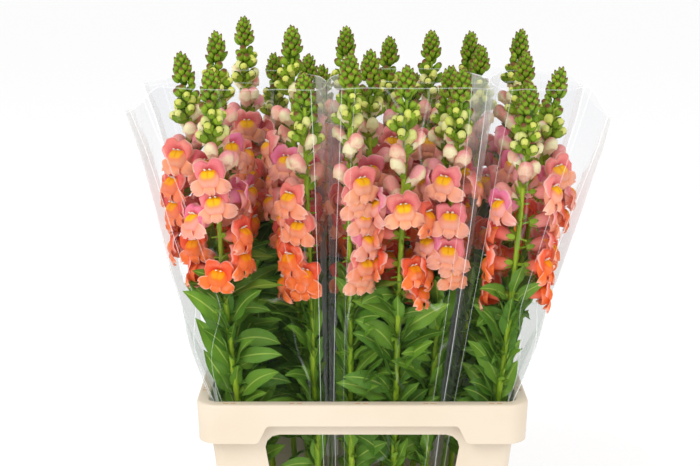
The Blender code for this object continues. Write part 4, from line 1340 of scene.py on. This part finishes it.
class Wire:
    """A socket that arithmetic can be written with."""

    def __init__(self, paint, socket):
        self.paint, self.socket = paint, socket

    def maths(self, operation, other=0.0, swap=False):
        """This value and another through a maths node, the other one first if swapped."""
        pair = (other, self) if swap else (self, other)
        return self.paint.node("Math", {0: pair[0], 1: pair[1]}, operation=operation)

    def __add__(self, other):
        return self.maths("ADD", other)

    __radd__ = __add__

    def __mul__(self, other):
        return self.maths("MULTIPLY", other)

    __rmul__ = __mul__

    def __sub__(self, other):
        return self.maths("SUBTRACT", other)

    def __rsub__(self, other):
        return self.maths("SUBTRACT", other, swap=True)

    def size(self):
        """Its absolute value."""
        return self.maths("ABSOLUTE")

    def wave(self):
        """The sine of so many turns."""
        return (self * FULL_TURN).maths("SINE")

    def ramp(self, low, high):
        """0 at low, 1 at high, an S curve between, and flat outside."""
        sockets = {"Value": self, "From Min": low, "From Max": high}
        return self.paint.node("MapRange", sockets, interpolation_type="SMOOTHSTEP")


class Paint:
    """A material's nodes, made one at a time."""

    def __init__(self, name):
        self.material = bpy.data.materials.new(name)
        self.material.use_nodes = True
        self.tree = self.material.node_tree
        self.tree.nodes.clear()

    def node(self, kind, sockets=None, output=0, **settings):
        """A new node of this kind with these settings, its sockets linked or set, as one output."""
        made = self.tree.nodes.new("ShaderNode" + kind)
        for key, value in settings.items():
            setattr(made, key, value)
        for key, value in (sockets or {}).items():
            if isinstance(value, Wire):
                self.tree.links.new(value.socket, made.inputs[key])
            elif made.inputs[key].type == "RGBA":
                made.inputs[key].default_value = (*value, 1)
            else:
                made.inputs[key].default_value = value
        return Wire(self, made.outputs[output])

    def mix(self, share, first, second):
        """A colour share of the way from the first to the second."""
        sockets = {0: share, 6: first, 7: second}
        return self.node("Mix", sockets, MIXED_COLOUR, data_type="RGBA")

    def over(self, colour, *tints):
        """The colour with tints laid over it in turn, each a share and a colour."""
        for share, tint in tints:
            colour = self.mix(share, colour, tint)
        return colour

    def noise(self, scale, detail=2.0, roughness=0.5, stretch=None):
        """A noise value in the object's own coordinates, its scale for 1 m."""
        place = self.node("TexCoord", output=OBJECT_PLACE)
        if stretch:
            place = self.node("Mapping", {"Vector": place, "Scale": stretch})
        sockets = {"Vector": place, "Scale": scale, "Detail": detail, "Roughness": roughness}
        return self.node("TexNoise", sockets)

    def shades(self):
        """Tone, spot, chance and age of the organs."""
        made = self.tree.nodes.new("ShaderNodeAttribute")
        made.attribute_name = "shade"
        parts = self.node("SeparateColor", {0: Wire(self, made.outputs[0])})
        rest = parts.socket.node.outputs
        return parts, Wire(self, rest[1]), Wire(self, rest[2]), Wire(self, made.outputs[3])

    def places(self):
        """Across and along, from 0 to 1, on each organ's own skin."""
        made = self.tree.nodes.new("ShaderNodeUVMap")
        made.uv_map = "place"
        parts = self.node("SeparateXYZ", {0: Wire(self, made.outputs[0])})
        return parts, Wire(self, parts.socket.node.outputs[1])

    def bump(self, height, strength, distance):
        """A normal for a surface raised by height times distance, in metres."""
        return self.node("Bump", {"Height": height, "Strength": strength, "Distance": distance})

    def finish(self, shader):
        """The material, with this shader as its surface."""
        out = self.tree.nodes.new("ShaderNodeOutputMaterial")
        self.tree.links.new(shader.socket, out.inputs[0])
        return self.material


def lit_through(paint, sockets, colour, share):
    """A principled surface, a share of which is light from behind in the same colour."""
    front = paint.node("BsdfPrincipled", {"Base Color": colour, **sockets})
    behind = paint.node("BsdfTranslucent", {"Color": colour})
    return paint.finish(paint.node("MixShader", {0: share, 1: front, 2: behind}))


def leaf_paint():
    """Mid green with a pale rib, faint side veins that slant forwards and darker edges. Young leaves,
    whose tone is high, are lighter."""
    p = Paint("leaf")
    tone, _, chance, _ = p.shades()
    across, along = p.places()
    off = (across - 0.5).size()
    rib = off.ramp(0.060, 0.020)
    veins = (along * 17 - off * 9).wave().ramp(0.80, 1.0) * off.ramp(0.02, 0.10)
    colour = p.over(
        p.mix(chance, (0.068, 0.195, 0.014), (0.215, 0.410, 0.034)),
        (p.noise(70.0).ramp(0.40, 0.75) * 0.5, (0.180, 0.350, 0.060)),
        (off.ramp(0.30, 0.50) * 0.30, (0.080, 0.230, 0.028)),
        (tone * 0.85, (0.270, 0.470, 0.045)),
        (veins * 0.25, (0.240, 0.420, 0.065)),
        (rib * 0.80, (0.450, 0.600, 0.110)),
    )
    height = rib * -0.5 + veins * -0.2 + p.noise(420.0) * 0.15
    rough, normal = p.noise(160.0) * 0.22 + 0.36, p.bump(height, 0.35, 0.0006)
    sockets = {"Roughness": rough, "Normal": normal, "Specular IOR Level": 0.24}
    return lit_through(p, sockets, colour, 0.14)


def stalk_paint():
    """Yellow-green, streaked lengthwise, darker in patches."""
    p = Paint("stalk")
    streaks = p.noise(260.0, 3.0, 0.6, (1, 1, 0.06))
    colour = p.over(
        (0.180, 0.320, 0.012),
        (streaks.ramp(0.35, 0.70), (0.390, 0.540, 0.035)),
        (p.noise(24.0).ramp(0.52, 0.75) * 0.5, (0.130, 0.240, 0.016)),
    )
    rough, normal = streaks * 0.25 + 0.32, p.bump(streaks, 0.3, 0.0005)
    sockets = {"Base Color": colour, "Roughness": rough, "Normal": normal, "Specular IOR Level": 0.25}
    return p.finish(p.node("BsdfPrincipled", sockets))


def calyx_paint():
    """Fresh green with a lighter foot, downy, with brown tips, and painted shade inside the spike."""
    p = Paint("calyx")
    tone, spot, chance, _ = p.shades()
    _, along = p.places()
    colour = p.over(
        p.mix(chance, (0.150, 0.290, 0.012), (0.290, 0.450, 0.024)),
        (along.ramp(0.40, 0.0) * 0.35, (0.380, 0.520, 0.045)),
        (p.noise(900.0, 1.0).ramp(0.45, 0.75) * 0.25, (0.440, 0.560, 0.090)),
        (spot * 0.90, (0.160, 0.034, 0.022)),
        # painted shade: the spike's inside, darker green where its scales shade it
        (tone.ramp(-0.2, -0.8), (0.070, 0.140, 0.008)),
    )
    normal = p.bump(p.noise(1100.0, 1.0), 0.3, 0.0004)
    sockets = {"Roughness": 0.48, "Normal": normal, "Specular IOR Level": 0.2}
    return lit_through(p, sockets, colour, 0.08)


def bud_paint():
    """Pale buds: yellow-green when young, then cream with a soft blush over the cap's top, then pink."""
    p = Paint("bud")
    _, spot, chance, age = p.shades()
    patchy, streak = p.noise(140.0), p.noise(600.0, 2.0, 0.5, (1, 1, 0.25))
    blush = p.mix(chance, (0.900, 0.330, 0.270), (0.880, 0.300, 0.360))
    reach = (spot * 1.15 + age * 1.1 - 0.62 + (patchy - 0.5) * 0.7).ramp(0.0, 0.95)
    colour = p.over(
        (0.700, 0.740, 0.130),
        (age.ramp(0.05, 0.50), (0.930, 0.870, 0.540)),
        (reach * age.ramp(0.15, 0.65) * 0.95, blush),
        (streak.ramp(0.45, 0.80) * 0.25, (0.940, 0.860, 0.600)),
        (patchy.ramp(0.60, 0.80) * age.ramp(0.6, 0.1) * 0.4, (0.520, 0.600, 0.120)),
    )
    sockets = {"Roughness": 0.42, "Normal": p.bump(streak, 0.25, 0.0005), "Specular IOR Level": 0.2}
    return lit_through(p, sockets, colour, 0.16)


def petal_paint():
    """Pink upper lip and peach lower lip on young blooms, orange on aged ones, the upper lip painted
    darker towards the throat as the shade in its hood; a glowing palate with its groove painted darker as
    shade;
    paler edges and fine veins along each lobe; white hairs where the tone is below 0. The tone is 1 on
    the upper lip, 0.62 on the tube, 0.15 on the palate and 0.05 on the lower lip."""
    p = Paint("petal")
    tone, spot, chance, age = p.shades()
    across, along = p.places()
    off = (across - 0.5).size()
    on_tube, off_tube = (tone - 0.62).size().ramp(0.06, 0.02), (tone - 0.62).size().ramp(0.05, 0.15)
    on_lower = tone.ramp(0.10, 0.07) * tone.ramp(-0.1, 0.0)

    pink = p.mix(chance.ramp(0.3, 0.9), (0.890, 0.260, 0.240), (0.840, 0.215, 0.380))
    upper = p.mix(age.ramp(0.25, 0.80), pink, (0.920, 0.115, 0.034))
    # painted shade: the upper lip's foot darker, as in the hollow of its hood
    upper_lip_shade = p.mix(age, (0.680, 0.070, 0.150), (0.700, 0.045, 0.020))
    upper = p.mix(along.ramp(0.50, 0.05) * 0.55, upper, upper_lip_shade)
    peach = p.mix(chance, (0.960, 0.470, 0.280), (0.940, 0.430, 0.370))
    lower = p.mix(age.ramp(0.25, 0.80), peach, (0.950, 0.195, 0.036))
    lower_foot = p.mix(age, (0.960, 0.400, 0.170), (0.950, 0.200, 0.030))
    palate_foot = p.mix(age, (0.950, 0.330, 0.130), (0.950, 0.170, 0.015))
    glow = p.mix(age.ramp(0.3, 0.9), (1.000, 0.520, 0.004), (1.000, 0.340, 0.002))

    veins = (across * 34 + (p.noise(180.0) - 0.5) * 4).wave().ramp(0.2, 1.0)
    edge = along.ramp(0.80, 1.0).maths("MAXIMUM", off.ramp(0.40, 0.49) * on_lower)
    edge = edge * tone.ramp(-0.1, 0.1) * off_tube
    colour = p.over(
        lower,
        (tone.ramp(0.10, 0.55), upper),
        (p.noise(75.0).ramp(0.48, 0.78) * 0.45, (0.960, 0.480, 0.340)),
        (veins * along.ramp(0.95, 0.3) * 0.22, (0.740, 0.090, 0.100)),
        (along.ramp(0.75, 0.1) * on_lower * 0.6, lower_foot),
        (edge * 0.60, (0.990, 0.700, 0.600)),
        ((spot * tone.ramp(0.05, 0.12)).ramp(0.0, 0.45) * 0.8, palate_foot),
        (spot.ramp(0.35, 0.80), glow),
        # painted shade: the palate's middle groove darker orange
        (off.ramp(0.040, 0.008) * spot.ramp(0.5, 0.9) * 0.45, (0.720, 0.180, 0.008)),
        (on_tube * along.ramp(0.9, 0.1) * 0.5, (0.860, 0.450, 0.340)),
        (tone.ramp(-0.4, -0.9), (0.950, 0.900, 0.790)),
    )
    rough, height = p.noise(260.0) * 0.2 + 0.40, veins * 0.35 + p.noise(700.0, 1.0)
    sockets = {"Roughness": rough, "Normal": p.bump(height, 0.25, 0.0005), "Specular IOR Level": 0.18}
    return lit_through(p, sockets, colour, 0.18)


def plastic_paint():
    """Cream moulded plastic: faint mottling, small warmer flecks, patchy gloss and a fine moulded grain.
    """
    p = Paint("cream_plastic")
    colour = p.over(
        (0.712, 0.612, 0.484),
        (p.noise(9.0, 3.0).ramp(0.35, 0.70), (0.692, 0.584, 0.448)),
        (p.noise(240.0, 4.0, 0.7).ramp(0.66, 0.80) * 0.35, (0.780, 0.590, 0.370)),
    )
    rough, normal = p.noise(60.0, 3.0) * 0.20 + 0.34, p.bump(p.noise(1500.0, 2.0), 0.12, 0.0003)
    sockets = {"Base Color": colour, "Roughness": rough, "Normal": normal}
    return p.finish(p.node("BsdfPrincipled", sockets))


def slot_shade_paint():
    """The floors of the rim's slots, painted dark orange-brown as the shade in the slots."""
    p = Paint("slot_floor")
    # painted shade: dark orange-brown
    colour = p.mix(p.noise(300.0), (0.520, 0.230, 0.070), (0.600, 0.300, 0.110))
    return p.finish(p.node("BsdfPrincipled", {"Base Color": colour, "Roughness": 0.6}))


def film_paint(name, dense, glow):
    """Clear film: nearly all see-through, with gloss at a slant and painted highlights along wandering
    crease lines. dense is the share of it that looks white, before the gloss, and glow the strength of
    the painted light that its white part gives off, as if carried from the rest of the film."""
    p = Paint(name)
    wrinkle = p.noise(26.0, 3.0, 0.55, (1, 1, 0.30))
    fine = p.noise(140.0, 2.0, 0.5, (1, 1, 0.20))
    normal = p.bump(wrinkle + fine * 0.08, 0.35, 0.004)
    sockets = {"Base Color": (0.930, 0.935, 0.950), "Roughness": 0.16, "Normal": normal}
    # painted light: the white part glows though the film is no lamp
    sockets.update({"Emission Color": (0.900, 0.920, 0.930), "Emission Strength": glow})
    gloss = p.node("BsdfPrincipled", sockets)
    clear = p.node("BsdfTransparent", {"Color": (0.968, 0.970, 0.975)})
    slant = p.node("Fresnel", {"IOR": 1.33, "Normal": normal})
    # painted highlights along noise crease lines
    crease_highlights = (p.noise(15.0, 1.0, 0.5, (1, 1, 0.22)) - 0.5).size().ramp(0.010, 0.001)
    crease_highlights = crease_highlights * wrinkle.ramp(0.45, 0.70)
    share = (slant - 0.020) * 0.36 + dense * (0.7 + 0.3 * fine) + crease_highlights * 0.14
    return p.finish(p.node("MixShader", {0: share, 1: clear, 2: gloss}))


def water_paint():
    """Still clear water: see-through from above, glossy at a slant."""
    p = Paint("still_water")
    ripple = p.bump(p.noise(45.0), 0.25, 0.002)
    gloss = p.node("BsdfGlossy", {"Color": (0.9, 0.95, 0.95), "Roughness": 0.04, "Normal": ripple})
    clear = p.node("BsdfTransparent", {"Color": (0.55, 0.66, 0.52)})
    slant = p.node("Fresnel", {"IOR": 1.33, "Normal": ripple})
    return p.finish(p.node("MixShader", {0: slant + 0.03, 1: clear, 2: gloss}))


def floor_paint():
    """A pale matt floor that glows a little, as bright as the sky behind it."""
    p = Paint("pale_floor")
    sockets = {"Base Color": (0.965, 0.965, 0.965), "Roughness": 0.9, "Specular IOR Level": 0.1}
    sockets.update({"Emission Color": (1, 1, 1), "Emission Strength": 0.145})
    return p.finish(p.node("BsdfPrincipled", sockets))


# Stage

WORLD_LIGHT = 0.86
LAMPS = (
    # name, place, aim, size, power
    ("key", (-1.3, -1.9, 2.3), (0, 0, 0.45), 1.4, 38),
    ("fill", (1.6, -1.6, 1.5), (0, 0, 0.45), 1.6, 9),
)
FLOOR_HALF, FLOOR_Z = 30.0, -0.0005
SENSOR = 36  # millimetres
CAMERA_LENS = 1293 / 700 * SENSOR
CAMERA_PLACE, CAMERA_DIP = (-0.015, -1.597, 0.896), 13.42  # it looks this many degrees down


def make_stage():
    """A pale floor, a white sky, a soft key from the upper left and a softer fill."""
    mesh = bpy.data.meshes.new("floor")
    signs = ((-1, -1), (1, -1), (1, 1), (-1, 1))
    corners = [(x * FLOOR_HALF, y * FLOOR_HALF, FLOOR_Z) for x, y in signs]
    mesh.from_pydata(corners, [], [(0, 1, 2, 3)])
    mesh.materials.append(floor_paint())
    floor = link(bpy.data.objects.new("floor", mesh))
    scene = bpy.context.scene
    scene.world = scene.world or bpy.data.worlds.new("studio")
    scene.world.use_nodes = True
    background = scene.world.node_tree.nodes["Background"]
    background.inputs[0].default_value = (1, 1, 1, 1)
    background.inputs[1].default_value = WORLD_LIGHT
    scene.view_settings.view_transform = "Standard"
    for name, place, aim, size, power in LAMPS:
        lamp = bpy.data.lights.new(name, "AREA")
        lamp.shape = "SQUARE"
        lamp.size = size
        lamp.energy = power
        obj = link(bpy.data.objects.new(name, lamp))
        obj.location = place
        obj.rotation_euler = (Vector(aim) - Vector(place)).to_track_quat("-Z", "Y").to_euler()
    camera = link(bpy.data.objects.new("camera", bpy.data.cameras.new("camera")))
    camera.data.sensor_width = SENSOR
    camera.data.lens = CAMERA_LENS
    camera.location = CAMERA_PLACE
    camera.rotation_euler = (math.radians(90 - CAMERA_DIP), 0, 0)
    scene.camera = camera


def main():
    """Loads the solids, makes their looks, hangs each look on the body it rides on and hides the solids
    it replaces.
    """
    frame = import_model()
    make_stage()
    plastic = plastic_paint()
    collar, floors = make_collar(plastic, slot_shade_paint())
    bucket = make_bucket(plastic)
    for piece in (collar, floors, bucket):
        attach(piece, "root")
    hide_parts(*[node for node in frame["nodes"] if node.startswith("collar_")])
    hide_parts("bucket")
    water = bpy.data.objects["water"]
    water.data.materials.clear()
    water.data.materials.append(water_paint())
    # the folds' film is denser and gives off painted light: painted highlights
    film, fold = film_paint("clear_film", 0.003, 0.03), film_paint("film_fold", 0.18, 0.65)
    for name in SLEEVES:
        sheet = make_film(name, film, fold)
        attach(sheet, "root")
        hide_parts(name)
    stems = plan_stems()
    plan_organs(stems)
    plan_more(stems)
    draw = random.Random(SEED + 3)
    skins = {"scale": scale_skin(), "cup": cup_skin(), "bead": bead_skin()}
    skins["blooms"] = [bloom_skin(draw) for _ in range(BLOOM_SKINS)]
    skins["buds"] = [bud_skin(draw) for _ in range(BUD_SKINS)]
    materials = [stalk_paint(), leaf_paint(), calyx_paint(), bud_paint(), petal_paint()]
    for stem in stems:
        piece = dress_stem(stem, skins, materials)
        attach(piece, "root")
        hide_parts(stem["name"])


main()
